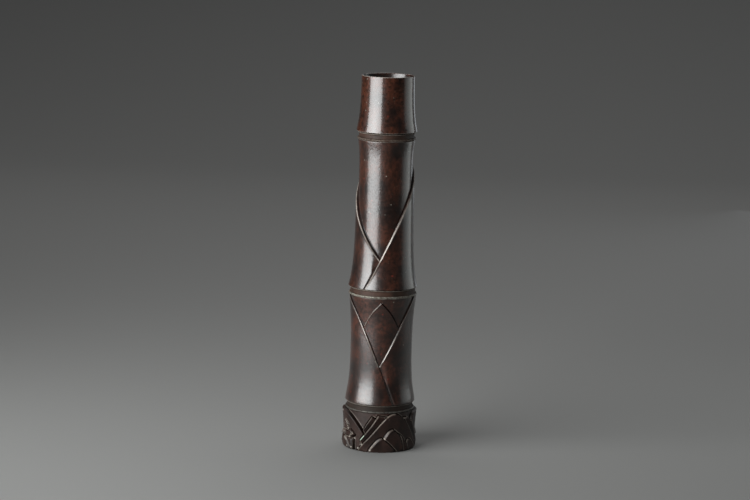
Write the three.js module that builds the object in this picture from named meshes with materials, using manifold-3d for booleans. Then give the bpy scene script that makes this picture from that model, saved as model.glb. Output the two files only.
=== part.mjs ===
// A slender flower vase of patinated bronze in the form of a length of bamboo.
// Three internodes stand end to end on a foot carved with a range of hills. Collars join them at the
// nodes, with spigots soldered into the tubes. Culm sheaths wrap the middle and lower internodes, and
// the pointed tip of an inner sheath shows in the opening of the lower one.
// Lengths are millimetres and +Z is up, with the origin at the centre of the foot's resting face.
// Angles are degrees round the axis, counted from the front (-Y) towards +X.
import * as THREE from "three";
import { mergeVertices } from "three/addons/utils/BufferGeometryUtils.js";
import Module from "manifold-3d";

// Facets round the axis, and stations along an internode
const segments = 36;
const stations = 11;
// Points nearer to each other than this are one point
const closeEnough = 1e-4;

// Heights and lengths, from the foot up
const footHeight = 31.7;
const lowerCollarHeight = 6.6;
const lowerCulmLength = 86.2;
const middleCollarHeight = 7;
const middleCulmLength = 117.7;
const upperCollarHeight = 6.3;
const mouthLength = 44.2;

// Soldered fits
const solderGap = 0.15;
const seatFilm = 0.05;
const spigotDepth = 8;

// Mouth internode
const mouthWaist = 21.1;
const mouthFootFlare = 3.2;
const mouthFootReach = 12.8;
const mouthWall = 2.0;
const lipThickness = 1.2;
const lipDepth = 4;

// Middle internode
const middleWaist = 21.2;
const middleFootFlare = 4.5;
const middleFootReach = 17;
const middleTopFlare = 1.4;
const middleTopReach = 8;
const middleWall = 1.8;

// Lower internode
const lowerWaist = 22.7;
const lowerFootFlare = 3.4;
const lowerFootReach = 14.5;
const lowerTopFlare = 2.8;
const lowerTopReach = 14.5;
const lowerWall = 2.0;

// Culm sheaths
const middleSheathHeight = 113;
const sheathThickness = 1.6;
const sheathBed = 0.35;
const tipTrim = 0.2;
const tuckedEdge = 0.6;
// The lap in degrees: how far the under flap dips, how far above the crossing it starts to,
// and how far ahead of the tucked edge the over flap is off the culm
const lapRamp = 45;
const lapFade = 14;
const lapClear = 12;
// The most that a sheath's edge turns from one row to the next
const edgeTurn = 15;

// Leaf tip in the opening of the lower sheath
const leafThickness = 0.7;
const leafClear = 1;
const leafDrop = 3.2;
const leafShoulder = 22;
const leafHalfAngle = 36;
const leafPower = 0.75;
const leafAngle = -2.5;
const leafRows = 12;

// Node collars: what stands out is measured from the piece below, and what stands back from the flare above
const collarWall = 1.9;
const beadHeight = 1.8;
const beadBulge = 0.6;
const upperBeadStand = 0.8;
const middleBeadStand = -0.1;
const lowerBeadStand = 0.1;
const lowerBeadHeight = 1.5;
const lowerBeadBulge = 0.5;
const lipHeight = 1;
const lipStand = 0.8;
const mouthOverhang = 1.5;
const sheathOverhang = 0.9;

// Foot and base plate
const footRadius = 27.7;
const footWall = 3.6;
const footRound = 8;
const restingWidth = 2.6;
const reliefDepth = 2.3;
const reliefBevel = 0.5;
// How much a hill's face falls back for each millimetre below its crest
const faceLean = 0.06;
const reliefTopMargin = 0.8;
const hillToe = 0.6;
const trimMargin = 0.2;
const hillStep = 13;
const plateThickness = 2;
const plateRecess = 1;
const plateLedge = 1.6;

const manifold = await Module();
manifold.setup();

// Patinas, from the glossy culm to the dull base plate
const culmFinish = { color: 0x4a2a1e, roughness: 0.32, metalness: 0.9 };
const sheathFinish = { color: 0x45271c, roughness: 0.34, metalness: 0.9 };
const collarFinish = { color: 0x3b2a20, roughness: 0.5, metalness: 0.85 };
const footFinish = { color: 0x2c211b, roughness: 0.55, metalness: 0.8 };
const plateFinish = { color: 0x4d3a28, roughness: 0.6, metalness: 0.8 };

function mesh(name, geometry, finish, height) {
  const made = new THREE.Mesh(geometry, new THREE.MeshStandardMaterial(finish));
  made.name = name;
  made.position.z = height;
  return made;
}

// A point at an angle, a radius and a height
function polar(angle, radius, height) {
  const turn = THREE.MathUtils.degToRad(angle);
  return new THREE.Vector3(radius * Math.sin(turn), -radius * Math.cos(turn), height);
}

// A closed profile of [radius, height] pairs, outside upwards, turned about the axis
function turned(profile) {
  const points = [...profile, profile[0]].map(([radius, height]) => new THREE.Vector2(radius, height));
  return new THREE.LatheGeometry(points, segments).rotateX(Math.PI / 2);
}

// A closed shell between an outer and an inner face, each a grid whose columns go round with the angle;
// triangles that close up to nothing are left out
function shell(rows, columns, outerAt, innerAt) {
  const positions = [];
  const index = [];
  for (const pointAt of [outerAt, innerAt])
    for (let row = 0; row < rows; row++)
      for (let column = 0; column < columns; column++) positions.push(...pointAt(row, column).toArray());
  const outer = (row, column) => row * columns + column;
  const inner = (row, column) => rows * columns + outer(row, column);
  const pointOf = (corner) => new THREE.Vector3().fromArray(positions, 3 * corner);
  const apart = (a, b) => pointOf(a).distanceTo(pointOf(b)) > closeEnough;
  const triangle = (a, b, c) => {
    if (apart(a, b) && apart(b, c) && apart(c, a)) index.push(a, b, c);
  };
  const quad = (a, b, c, d) => {
    triangle(a, b, c);
    triangle(a, c, d);
  };
  for (let row = 0; row < rows - 1; row++)
    for (let column = 0; column < columns - 1; column++) {
      const corners = [[row, column], [row, column + 1], [row + 1, column + 1], [row + 1, column]];
      quad(...corners.map((corner) => outer(...corner)));
      quad(...corners.reverse().map((corner) => inner(...corner)));
    }
  const wall = (from, to) => quad(outer(...from), outer(...to), inner(...to), inner(...from));
  for (let column = 0; column < columns - 1; column++) {
    wall([0, column + 1], [0, column]);
    wall([rows - 1, column], [rows - 1, column + 1]);
  }
  for (let row = 0; row < rows - 1; row++) {
    wall([row, 0], [row + 1, 0]);
    wall([row + 1, columns - 1], [row, columns - 1]);
  }
  const geometry = new THREE.BufferGeometry();
  geometry.setAttribute("position", new THREE.Float32BufferAttribute(positions, 3));
  geometry.setIndex(index);
  geometry.computeVertexNormals();
  return geometry;
}

// A shell round the axis with a column at every facet's corner, gathered in between two edges whose
// angles vary with the height
function gatheredShell(heights, startAt, endAt, outerRadius, innerRadius) {
  const facet = 360 / segments;
  const first = Math.floor(Math.min(...heights.map(startAt)) / facet);
  const last = Math.ceil(Math.max(...heights.map(endAt)) / facet);
  const placed = (radiusAt) => (row, column) => {
    const height = heights[row];
    const angle = THREE.MathUtils.clamp((first + column) * facet, startAt(height), endAt(height));
    return polar(angle, radiusAt(angle, height), height);
  };
  return shell(heights.length, last - first + 1, placed(outerRadius), placed(innerRadius));
}

// A geometry as a solid that can be joined and cut
function solidOf(geometry) {
  const bare = geometry.clone();
  bare.deleteAttribute("normal");
  bare.deleteAttribute("uv");
  const merged = mergeVertices(bare, closeEnough);
  const vertProperties = new Float32Array(merged.attributes.position.array);
  const triVerts = new Uint32Array(merged.index.array);
  return new manifold.Manifold(new manifold.Mesh({ numProp: 3, vertProperties, triVerts }));
}

function geometryOf(solid) {
  const { vertProperties, triVerts } = solid.getMesh();
  const geometry = new THREE.BufferGeometry();
  geometry.setAttribute("position", new THREE.Float32BufferAttribute(vertProperties, 3));
  geometry.setIndex([...triVerts]);
  geometry.computeVertexNormals();
  return geometry;
}

// Internodes: a waisted tube whose flares die away from its two ends

const mouthCulm = {
  length: mouthLength, waist: mouthWaist, wall: mouthWall,
  footFlare: mouthFootFlare, footReach: mouthFootReach, footPower: 1.1,
  topFlare: 0, topReach: 1, topPower: 1,
};
const middleCulm = {
  length: middleCulmLength, waist: middleWaist, wall: middleWall,
  footFlare: middleFootFlare, footReach: middleFootReach, footPower: 1,
  topFlare: middleTopFlare, topReach: middleTopReach, topPower: 1.4,
};
const lowerCulm = {
  length: lowerCulmLength, waist: lowerWaist, wall: lowerWall,
  footFlare: lowerFootFlare, footReach: lowerFootReach, footPower: 1.35,
  topFlare: lowerTopFlare, topReach: lowerTopReach, topPower: 1.4,
};

function culmRadius(culm, height) {
  const fromTop = Math.max(0, culm.length - height);
  const footShare = Math.exp(-((height / culm.footReach) ** culm.footPower));
  const topShare = Math.exp(-((fromTop / culm.topReach) ** culm.topPower));
  return culm.waist + culm.footFlare * footShare + culm.topFlare * topShare;
}

// Heights along a culm, closer together towards its ends
function culmHeights(culm) {
  const shareAt = (station) => (1 - Math.cos((Math.PI * station) / (stations - 1))) / 2;
  return Array.from({ length: stations }, (_, station) => culm.length * shareAt(station));
}

// The radius of a culm's facets at a height, on the straight between two of its stations
function facetRadius(culm, height) {
  const heights = culmHeights(culm);
  const next = Math.max(1, heights.findIndex((station) => station >= height));
  const [low, high] = [heights[next - 1], heights[next]];
  const share = (height - low) / (high - low);
  return THREE.MathUtils.lerp(culmRadius(culm, low), culmRadius(culm, high), share);
}

const culmOutline = (culm) => culmHeights(culm).map((height) => [culmRadius(culm, height), height]);
const waistBore = (culm) => culm.waist - culm.wall;
// The bores that take the spigots at the two ends, opened out by half of the flare there
const footSeat = (culm) => waistBore(culm) + culm.footFlare / 2;
const topSeat = (culm) => waistBore(culm) + culm.topFlare / 4;

// The inside of a tube from its top seat down to its foot seat
function tubeBore(culm, topEnd) {
  const seatDepth = spigotDepth + lipHeight;
  const taperEnd = seatDepth + culm.footReach;
  return [
    ...topEnd,
    [waistBore(culm), Math.max(taperEnd, culm.length - 2 * seatDepth)],
    [waistBore(culm), taperEnd],
    [footSeat(culm), seatDepth],
    [footSeat(culm), 0],
  ];
}

function culmTube(culm) {
  const seatDepth = spigotDepth + lipHeight;
  const topEnd = [[topSeat(culm), culm.length], [topSeat(culm), culm.length - seatDepth]];
  return turned([...culmOutline(culm), ...tubeBore(culm, topEnd)]);
}

// The mouth has a thin lip, splayed inside and eased at its outer edge
function mouthTube(culm) {
  const ease = lipThickness / 4;
  const outline = culmOutline(culm);
  const rim = outline.pop()[0];
  const lip = [
    [rim, culm.length - ease],
    [rim - ease, culm.length],
    [rim - lipThickness, culm.length],
    [waistBore(culm), culm.length - lipDepth],
  ];
  const seatDepth = spigotDepth + lipHeight;
  return turned([...outline, ...lip, [footSeat(culm), seatDepth], [footSeat(culm), 0]]);
}

// Node collars: a bead, a recessed band and a lip under the flare, with a spigot at each end

function collar({ height, bead, beadRise, bulge, lip, below, above }) {
  const band = lip - lipStand;
  const spigotBelow = below - solderGap;
  const spigotAbove = above - solderGap;
  const bore = Math.min(spigotBelow, spigotAbove) - collarWall;
  const beadArc = [0, 1, 2, 3].map((step) => {
    const stand = bulge * (Math.sin((Math.PI / 3) * step) - 1);
    return [bead + stand, (beadRise * step) / 3];
  });
  return turned([
    [spigotBelow, -spigotDepth],
    [spigotBelow, 0],
    ...beadArc,
    [band, beadRise],
    [band, height - lipHeight],
    [lip, height - lipHeight / 2],
    [lip, height],
    [spigotAbove, height],
    [spigotAbove, height + spigotDepth],
    [bore, height + spigotDepth],
    [bore, -spigotDepth],
  ]);
}

// Culm sheaths: a wrap whose two edges climb round the culm, one lapped over the other at the front

// The over edge of the middle sheath comes round from the right, that of the lower one from the left
const middleSheath = {
  culm: middleCulm, height: middleSheathHeight, side: 1,
  over: { base: -31.5, top: 193.5, ease: 0.5 },
  under: { base: 34, top: -166.5, ease: 1 },
};
const lowerSheath = {
  culm: lowerCulm, height: lowerCulmLength - solderGap, side: -1,
  over: { base: 22.5, top: -106, ease: 0.5 },
  under: { base: -39, top: 75, ease: 0.86 },
};

// The angle of an edge at a height, easing into its top
function edgeAngle(sheath, edge, height) {
  const left = Math.max(0, 1 - height / sheath.height);
  return edge.base + (edge.top - edge.base) * (1 - left ** edge.ease);
}

// How far round the wrap reaches at a height, from its under edge to its over edge
function wrapAngle(sheath, height) {
  const over = edgeAngle(sheath, sheath.over, height);
  const under = edgeAngle(sheath, sheath.under, height);
  return 360 - sheath.side * (over - under);
}

// The height at which the wrap opens by an angle, found by halving
function openingHeight(sheath, opening) {
  let [low, high] = [0, sheath.height];
  for (let halving = 0; halving < 40; halving++) {
    const middle = (low + high) / 2;
    if (wrapAngle(sheath, middle) > 360 - opening) low = middle;
    else high = middle;
  }
  return low;
}

// Where the edges cross, the under edge dips and the over edge climbs off the culm to pass over it
const lapShare = (wrap) => THREE.MathUtils.smoothstep(wrap, 360 - lapFade, 360);

function sheathOutside(wrap, travel) {
  const lapped = Math.max(0, wrap - 360);
  const dip = 1 - THREE.MathUtils.smoothstep(travel, lapped, lapped + lapRamp);
  return sheathThickness - (sheathThickness - tuckedEdge) * lapShare(wrap) * dip;
}

function sheathInside(wrap, travel) {
  const climb = THREE.MathUtils.smoothstep(travel, 360 - 2 * lapClear, 360 - lapClear);
  return (tuckedEdge + solderGap) * lapShare(wrap) * climb;
}

// Heights of the wrap's rows: those of the culm and of the crossing, and more where an edge turns fast
function sheathHeights(sheath) {
  const top = sheath.height - tipTrim;
  const crossing = [openingHeight(sheath, 0), openingHeight(sheath, lapFade)];
  const below = culmHeights(sheath.culm).filter((station) => station < top - tipTrim);
  const marks = [...below, ...crossing, top].sort((a, b) => a - b);
  const rows = [marks[0]];
  for (let mark = 1; mark < marks.length; mark++) {
    const [low, high] = [marks[mark - 1], marks[mark]];
    const turns = [sheath.over, sheath.under].map((edge) => {
      return Math.abs(edgeAngle(sheath, edge, high) - edgeAngle(sheath, edge, low));
    });
    const steps = Math.ceil(Math.max(...turns) / edgeTurn);
    for (let step = 1; step <= steps; step++) rows.push(low + ((high - low) * step) / steps);
  }
  return rows;
}

function sheathWrap(sheath) {
  const { culm, side } = sheath;
  const underAt = (height) => edgeAngle(sheath, sheath.under, height);
  const overAt = (height) => edgeAngle(sheath, sheath.over, height) - side * 360;
  const radiusFrom = (levelAt) => (angle, height) => {
    const level = levelAt(wrapAngle(sheath, height), Math.abs(angle - underAt(height)));
    return facetRadius(culm, height) + sheathBed + level;
  };
  const [startAt, endAt] = side > 0 ? [overAt, underAt] : [underAt, overAt];
  const [outside, inside] = [sheathOutside, sheathInside].map(radiusFrom);
  return gatheredShell(sheathHeights(sheath), startAt, endAt, outside, inside);
}

// The leaf tip: a pointed arch that fills the opening of the lower sheath

function leafTip(sheath) {
  const { culm } = sheath;
  const apex = culm.length - leafDrop;
  const foot = openingHeight(sheath, 4 * leafClear);
  const halfAngle = (height) => leafHalfAngle * ((apex - height) / leafShoulder) ** leafPower;
  const leftAt = (height) => {
    return Math.max(leafAngle - halfAngle(height), edgeAngle(sheath, sheath.over, height) + leafClear);
  };
  const rightAt = (height) => {
    return Math.min(leafAngle + halfAngle(height), edgeAngle(sheath, sheath.under, height) - leafClear);
  };
  const share = (row) => Math.sin((Math.PI / 2) * (row / (leafRows - 1)));
  const heights = Array.from({ length: leafRows }, (_, row) => foot + (apex - tipTrim - foot) * share(row));
  const inside = (_, height) => facetRadius(culm, height) + sheathBed;
  const outside = (angle, height) => inside(angle, height) + leafThickness;
  return gatheredShell(heights, leftAt, rightAt, outside, inside);
}

// Foot: a drum with a frieze of hills in layers, bored for the collar and rebated for the base plate

const reliefBand = footHeight - reliefTopMargin;
const footBore = footRadius - footWall;
const rebateRadius = footBore + plateLedge;
const rebateDepth = plateRecess + plateThickness;

// Two groups of hills, each hill in front of the one before it: its rise is a share of the band, and its
// stand a share of the depth; angles are from the group's own turn
const ridgeGroup = [
  { peak: -38, rise: 0.94, crown: 1.5, left: 1.45, right: 0.4, stand: 0.84, until: -24 },
  { peak: -28, rise: 0.96, crown: 1.5, left: 1.4, right: 0.1, stand: 0.92, until: -4 },
  { peak: 29, rise: 0.86, crown: 2, left: 0.1, right: 1.2, stand: 0.85, from: 10 },
  { peak: 0, rise: 1, crown: 6, left: 1.05, right: 1.3, stand: 1 },
  { peak: -4, rise: 0.58, crown: 3, left: 1.5, right: 1.25, stand: 1 },
  { peak: -20.5, rise: 0.37, crown: 2.5, left: 1.1, right: 0.95, stand: 1 },
];
const rockGroup = [
  { peak: 0, rise: 1, crown: 8, left: 1, right: 0.96, stand: 1 },
  { peak: 22, rise: 0.54, crown: 1.5, left: 1.5, right: 2.2, stand: 1 },
  { peak: 10, rise: 0.56, crown: 2.5, left: 0.9, right: 1.3, stand: 1 },
  { peak: -12, rise: 0.36, crown: 4, left: 0.9, right: 1, stand: 1 },
];
const ridgeTurns = [27, 207];
const rockTurns = [-68, 112];

// The height of a hill's crest at an angle from its peak: straight flanks that round over the crown
function crestHeight(hill, angle) {
  const along = THREE.MathUtils.degToRad(angle) * footRadius;
  const slope = angle < 0 ? hill.left : hill.right;
  return hill.rise * reliefBand + hill.crown - Math.hypot(hill.crown, slope * along);
}

// How far from the peak a flank runs before it is down to the hill's toe
function flankReach(hill, slope) {
  const drop = hill.rise * reliefBand - hillToe + hill.crown;
  const along = Math.sqrt(drop ** 2 - hill.crown ** 2) / slope;
  return THREE.MathUtils.radToDeg(along / footRadius);
}

function hillLayer(hill, turn) {
  const from = Math.max(-flankReach(hill, hill.left), (hill.from ?? -180) - hill.peak);
  const until = Math.min(flankReach(hill, hill.right), (hill.until ?? 180) - hill.peak);
  const columns = Math.ceil((until - from) / hillStep) + 1;
  const face = footRadius + hill.stand * reliefDepth;
  const root = footRadius - footWall / 2;
  const angleAt = (column) => from + ((until - from) * column) / (columns - 1);
  const heightAt = (row, column) => {
    const crest = crestHeight(hill, angleAt(column));
    return [-hillToe, crest - reliefBevel, crest][row];
  };
  const outer = (row, column) => {
    const height = heightAt(row, column);
    const lean = row === 2 ? reliefBevel : faceLean * (heightAt(2, column) - height);
    return polar(turn + hill.peak + angleAt(column), face - lean, height);
  };
  const inner = (row, column) => polar(turn + hill.peak + angleAt(column), root, heightAt(row, column));
  return solidOf(shell(3, columns, outer, inner));
}

// The solid that rounds the foot's lower edge, and levels its underside
function footEnvelope() {
  const restingRadius = rebateRadius + restingWidth;
  const swell = footRadius + reliefDepth + trimMargin - restingRadius;
  const round = [0, 1, 2, 3].map((step) => {
    const turn = (Math.PI / 6) * step;
    return [restingRadius + swell * Math.sin(turn), footRound * (1 - Math.cos(turn))];
  });
  return solidOf(turned([...round, [restingRadius + swell, footHeight], [0, footHeight], [0, 0]]));
}

function footDrum() {
  const drum = [
    [footRadius, 0], [footRadius, footHeight], [footBore, footHeight],
    [footBore, rebateDepth], [rebateRadius, rebateDepth], [rebateRadius, 0],
  ];
  let foot = solidOf(turned(drum));
  for (const [group, turns] of [[ridgeGroup, ridgeTurns], [rockGroup, rockTurns]])
    for (const turn of turns)
      for (const hill of group) foot = foot.add(hillLayer(hill, turn));
  return geometryOf(foot.intersect(footEnvelope()));
}

function basePlate() {
  const radius = rebateRadius - solderGap;
  return turned([[0, 0], [radius, 0], [radius, plateThickness], [0, plateThickness]]);
}

// Assembly, from the foot up

const lowerCollarBase = footHeight + seatFilm;
const lowerCulmBase = lowerCollarBase + lowerCollarHeight + seatFilm;
const middleCollarBase = lowerCulmBase + lowerCulmLength + seatFilm;
const middleCulmBase = middleCollarBase + middleCollarHeight + seatFilm;
const upperCollarBase = middleCulmBase + middleCulmLength + seatFilm;
const mouthBase = upperCollarBase + upperCollarHeight + seatFilm;

const sheathCorner = (culm) => culmRadius(culm, 0) + sheathBed + sheathThickness;
const sheathCrown = (culm) => culmRadius(culm, culm.length) + sheathBed + sheathThickness;

const lowerCollar = collar({
  height: lowerCollarHeight, bead: footRadius + lowerBeadStand, beadRise: lowerBeadHeight,
  bulge: lowerBeadBulge, lip: sheathCorner(lowerCulm) - sheathOverhang,
  below: footBore, above: footSeat(lowerCulm),
});
const middleCollar = collar({
  height: middleCollarHeight, bead: sheathCrown(lowerCulm) + middleBeadStand, beadRise: beadHeight,
  bulge: beadBulge, lip: sheathCorner(middleCulm) - sheathOverhang,
  below: topSeat(lowerCulm), above: footSeat(middleCulm),
});
const upperCollar = collar({
  height: upperCollarHeight, bead: culmRadius(middleCulm, middleCulmLength) + upperBeadStand,
  beadRise: beadHeight, bulge: beadBulge, lip: culmRadius(mouthCulm, 0) - mouthOverhang,
  below: topSeat(middleCulm), above: footSeat(mouthCulm),
});

const vase = new THREE.Group();
vase.add(
  mesh("base_plate", basePlate(), plateFinish, plateRecess - seatFilm),
  mesh("foot_drum", footDrum(), footFinish, 0),
  mesh("lower_node_collar", lowerCollar, collarFinish, lowerCollarBase),
  mesh("lower_culm", culmTube(lowerCulm), culmFinish, lowerCulmBase),
  mesh("lower_sheath", sheathWrap(lowerSheath), sheathFinish, lowerCulmBase),
  mesh("lower_leaf_tip", leafTip(lowerSheath), sheathFinish, lowerCulmBase),
  mesh("middle_node_collar", middleCollar, collarFinish, middleCollarBase),
  mesh("middle_culm", culmTube(middleCulm), culmFinish, middleCulmBase),
  mesh("middle_sheath", sheathWrap(middleSheath), sheathFinish, middleCulmBase),
  mesh("upper_node_collar", upperCollar, collarFinish, upperCollarBase),
  mesh("mouth_section", mouthTube(mouthCulm), culmFinish, mouthBase),
);
export default vase;
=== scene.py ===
"""A bronze flower vase in the form of a bamboo culm, on a foot carved with hills."""
import math

import bmesh
import bpy
import numpy as np
from mathutils import Matrix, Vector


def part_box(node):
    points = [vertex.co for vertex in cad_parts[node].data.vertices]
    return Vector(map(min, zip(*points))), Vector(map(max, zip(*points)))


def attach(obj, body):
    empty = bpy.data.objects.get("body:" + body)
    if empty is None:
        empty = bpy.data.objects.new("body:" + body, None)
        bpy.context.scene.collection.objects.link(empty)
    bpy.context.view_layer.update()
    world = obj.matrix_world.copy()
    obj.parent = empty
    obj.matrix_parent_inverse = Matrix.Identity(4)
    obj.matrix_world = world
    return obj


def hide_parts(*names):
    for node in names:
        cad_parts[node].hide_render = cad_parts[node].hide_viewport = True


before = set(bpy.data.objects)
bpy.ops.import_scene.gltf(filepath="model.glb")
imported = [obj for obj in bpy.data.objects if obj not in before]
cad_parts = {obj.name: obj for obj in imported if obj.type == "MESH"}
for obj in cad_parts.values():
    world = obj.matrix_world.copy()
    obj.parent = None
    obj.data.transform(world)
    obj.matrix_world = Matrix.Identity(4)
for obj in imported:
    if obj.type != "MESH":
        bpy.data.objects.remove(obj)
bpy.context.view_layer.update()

# Sizes below are in millimetres and angles in degrees, counted from the front (-Y) towards +X
MM = 0.001
SOLDER_GAP = 0.15
SPIGOT_DEPTH = 8.0

# Internodes: a waisted tube whose flares die away from its two ends
MOUTH = dict(
    node="mouth_section", waist=21.1, wall=2.0,
    foot_flare=3.2, foot_reach=12.8, foot_power=1.1,
    top_flare=0.0, top_reach=1.0, top_power=1.0,
    splay=1.2, splay_depth=5.0, top_round=0.5, foot_round=0.35,
)
MIDDLE = dict(
    node="middle_culm", waist=21.2, wall=1.8,
    foot_flare=4.5, foot_reach=17.0, foot_power=1.0,
    top_flare=1.4, top_reach=8.0, top_power=1.4,
    splay=0.275, splay_depth=14.0, top_round=0.7, foot_round=0.2,
)
LOWER = dict(
    node="lower_culm", waist=22.7, wall=2.0,
    foot_flare=3.4, foot_reach=14.5, foot_power=1.35,
    top_flare=2.8, top_reach=14.5, top_power=1.4,
    splay=0.7, splay_depth=14.0, top_round=0.2, foot_round=0.2,
)
SEAT_DEPTH = 9.0
CULM_AROUND = 256
CULM_ALONG = 321
CAST_UNEVENNESS = 0.05
WAVER_SCALE = 1.7
WAVER_CLIMB = 0.03

# The rubbed band at a tube's ends, outside and inside, whose pale is partly a painted highlight, and the run
# over which its bore darkens
RIM_WEAR = 1.0
RIM_WEAR_INSIDE = 0.3
DARK_BORE_RUN = (0.3, 2.0)

# Sheaths: the wrap's thickness, its bed on the culm, the trim of its tip, how it thins by its upper edges and
# the slant at which distances to its edges are measured
SHEATH_THICKNESS = 1.6
SHEATH_BED = 0.35
TIP_TRIM = 0.2
THIN_REACH = 7.0
THIN_RUN = (0.35, 0.95)
EDGE_SLANT = 0.7

# Lap at the front: the thin edge tucked under, the ramp that clears it and the groove beside it
TUCKED_EDGE = 0.6
LAP_RAMP = 16.0
LAP_NARROWING = 0.5
LAP_FADE = 14.0
LAP_CLEAR = 12.0
LAP_GROOVE_WIDTH = 0.35
LAP_GROOVE_START = 4.0

# Free edges: rounded over and bevelled, with a low rim, a rubbed line whose pale is partly a painted
# highlight, and a crease at their foot that is painted black as shade
EDGE_ROUND = 0.3
EDGE_BEVEL = 0.8
UNDER_BEVEL = 0.6
BEVEL_SHARE = 0.6
EDGE_RIM = 0.35
EDGE_RIM_WIDTH = 0.8
EDGE_TOP = 0.5
EDGE_WEAR = 0.5
CREASE_WIDTH = 1.1
CREASE_RISE = 0.5
CREASE_FLOOR = 0.04

# Rows and columns of the wraps, the angles between which they crowd by the groove, and the shares of them
# that are evenly spaced
SHEATH_ROWS = 170
TUCKED_COLUMNS = 36
GROOVE_COLUMNS = 36
SHEATH_COLUMNS = 310
SHEATH_INNER_COLUMNS = 110
CREASE_COLUMNS = 5
GROOVE_NEAR = 0.8
GROOVE_FAR = 4.0
EVEN_ROWS = 0.6
EVEN_COLUMNS = 0.4

# Each sheath: the angles of its edge on top and of its tucked edge at the base and the top, and how each
# climb eases; what is thinned off; how much bevel, rim, ramp and groove the lap keeps; how far it is rubbed
# to a pale that is partly a painted highlight
MIDDLE_SHEATH = dict(
    node="middle_sheath", culm=MIDDLE, height=113.0, side=1,
    over=dict(base=-31.5, top=193.5, ease=0.5),
    under=dict(base=34.0, top=-166.5, ease=1.0), thinned=0.2,
    lap_bevel=1.0, lap_rim=1.0, lap_near=4.0, lap_groove=0.2, wear=0.95,
)
LOWER_SHEATH = dict(
    node="lower_sheath", culm=LOWER, height=86.2 - SOLDER_GAP, side=-1,
    over=dict(base=22.5, top=-106.0, ease=0.5),
    under=dict(base=-39.0, top=75.0, ease=0.86), thinned=1.15,
    lap_bevel=0.1, lap_rim=0.0, lap_near=5.0, lap_groove=0.12, wear=0.75,
)

# Leaf tip in the opening of the lower sheath: its point is drawn in by a share that dies away below the apex
LEAF_THICKNESS = 0.7
LEAF_CLEAR = 1.0
LEAF_FOOT_OPENING = 4.0
LEAF_DROP = 3.2
LEAF_SHOULDER = 22.0
LEAF_HALF_ANGLE = 36.0
LEAF_POWER = 0.75
LEAF_OGEE = 0.85
LEAF_OGEE_REACH = 3.2
LEAF_ANGLE = -2.5
LEAF_BEVEL = 0.4
LEAF_WEAR = 0.75
LEAF_BARE_RUN = 3.0
LEAF_ROWS = 120
LEAF_COLUMNS = 90
LEAF_EVEN_ROWS = 0.5
LEAF_EVEN_COLUMNS = 0.3

# Node collars: each bead stands out from the tube below it, and each lip is set back under the flare above
COLLAR_WALL = 1.9
LIP_HEIGHT = 1.0
LIP_STAND = 0.8
LIP_DROP = 0.6
LIP_NECK = 1.0
# Where above the lip's foot a pale line is painted on the lip as its highlight
LIP_HIGHLIGHT_RUN = (0.2, 0.45)
LIP_BLUR = 0.05
NO_LIP = 1000.0
BEAD_STEPS = 9
COLLAR_AROUND = 300
COLLAR_ALONG = 240
COLLAR_EDGE_ROUND = 0.18
COLLAR_UNEVEN_SCALE = 0.35
UPPER_COLLAR = dict(
    node="upper_node_collar", bead_out=0.8, bead_rise=1.8, bulge=0.6, lip_back=1.5, uneven=0.12,
)
MIDDLE_COLLAR = dict(
    node="middle_node_collar", bead_out=-0.1, bead_rise=1.8, bulge=0.6, lip_back=0.9, uneven=0.9,
)
LOWER_COLLAR = dict(
    node="lower_node_collar", bead_out=0.1, bead_rise=1.5, bulge=0.5, lip_back=0.9, uneven=0.12,
)

# Foot and base plate
FOOT_RADIUS = 27.7
FOOT_WALL = 3.6
FOOT_BORE = FOOT_RADIUS - FOOT_WALL
FOOT_ROUND = 8.0
FOOT_SHARP = 60.0
RESTING_WIDTH = 2.6
RELIEF_DEPTH = 2.3
TRIM_MARGIN = 0.2
FOOT_COLUMNS = 720
FOOT_ROWS = 132
PLATE_THICKNESS = 2.0
PLATE_RECESS = 1.0
PLATE_LEDGE = 1.6
PLATE_SEAT = FOOT_BORE + PLATE_LEDGE
PLATE_POLE = 0.02
PLATE_EDGE_ROUND = 0.3
PLATE_UNEVENNESS = 0.1
PLATE_UNEVEN_SCALE = 0.1

# Carving: how a face falls back below its crest, the bevel above it, the steep cut on its right-hand side and
# the groove chased round each form, with the burr beside it. Cuts that face right are painted dark as shade,
# and the pale of a rubbed crest is mostly kept off the sides that face right, as painted light
FACE_LEAN = 0.06
CREST_FALL = 0.9
CREST_FADE = 2.6
CREST_INSET = 0.1
CREST_WEAR = 0.38
CREST_SHADE = 0.85
PILLOW_FALL = 1.3
STEEP_WALL = 0.5
RIGHT_FACING = (-0.1, 0.45)
WALL_SHADE = 0.8
WALL_SHADE_RUN = (-0.2, 0.1)
WALL_CLEAR_RUN = (-0.35, -0.05)
DARK_FACE_RUN = 0.5
CHASE_DEPTH = 0.35
CHASE_WIDTH = 0.4
BURR_AWAY = 0.8
BURR_WIDTH = 0.35
BURR_HEIGHT = 0.14
BURR_LEFT_SHARE = 0.35
RELIEF_TURNS = (2.0, 182.0)
RELIEF_RISE = 1.043
RELIEF_START = -205.0

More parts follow.
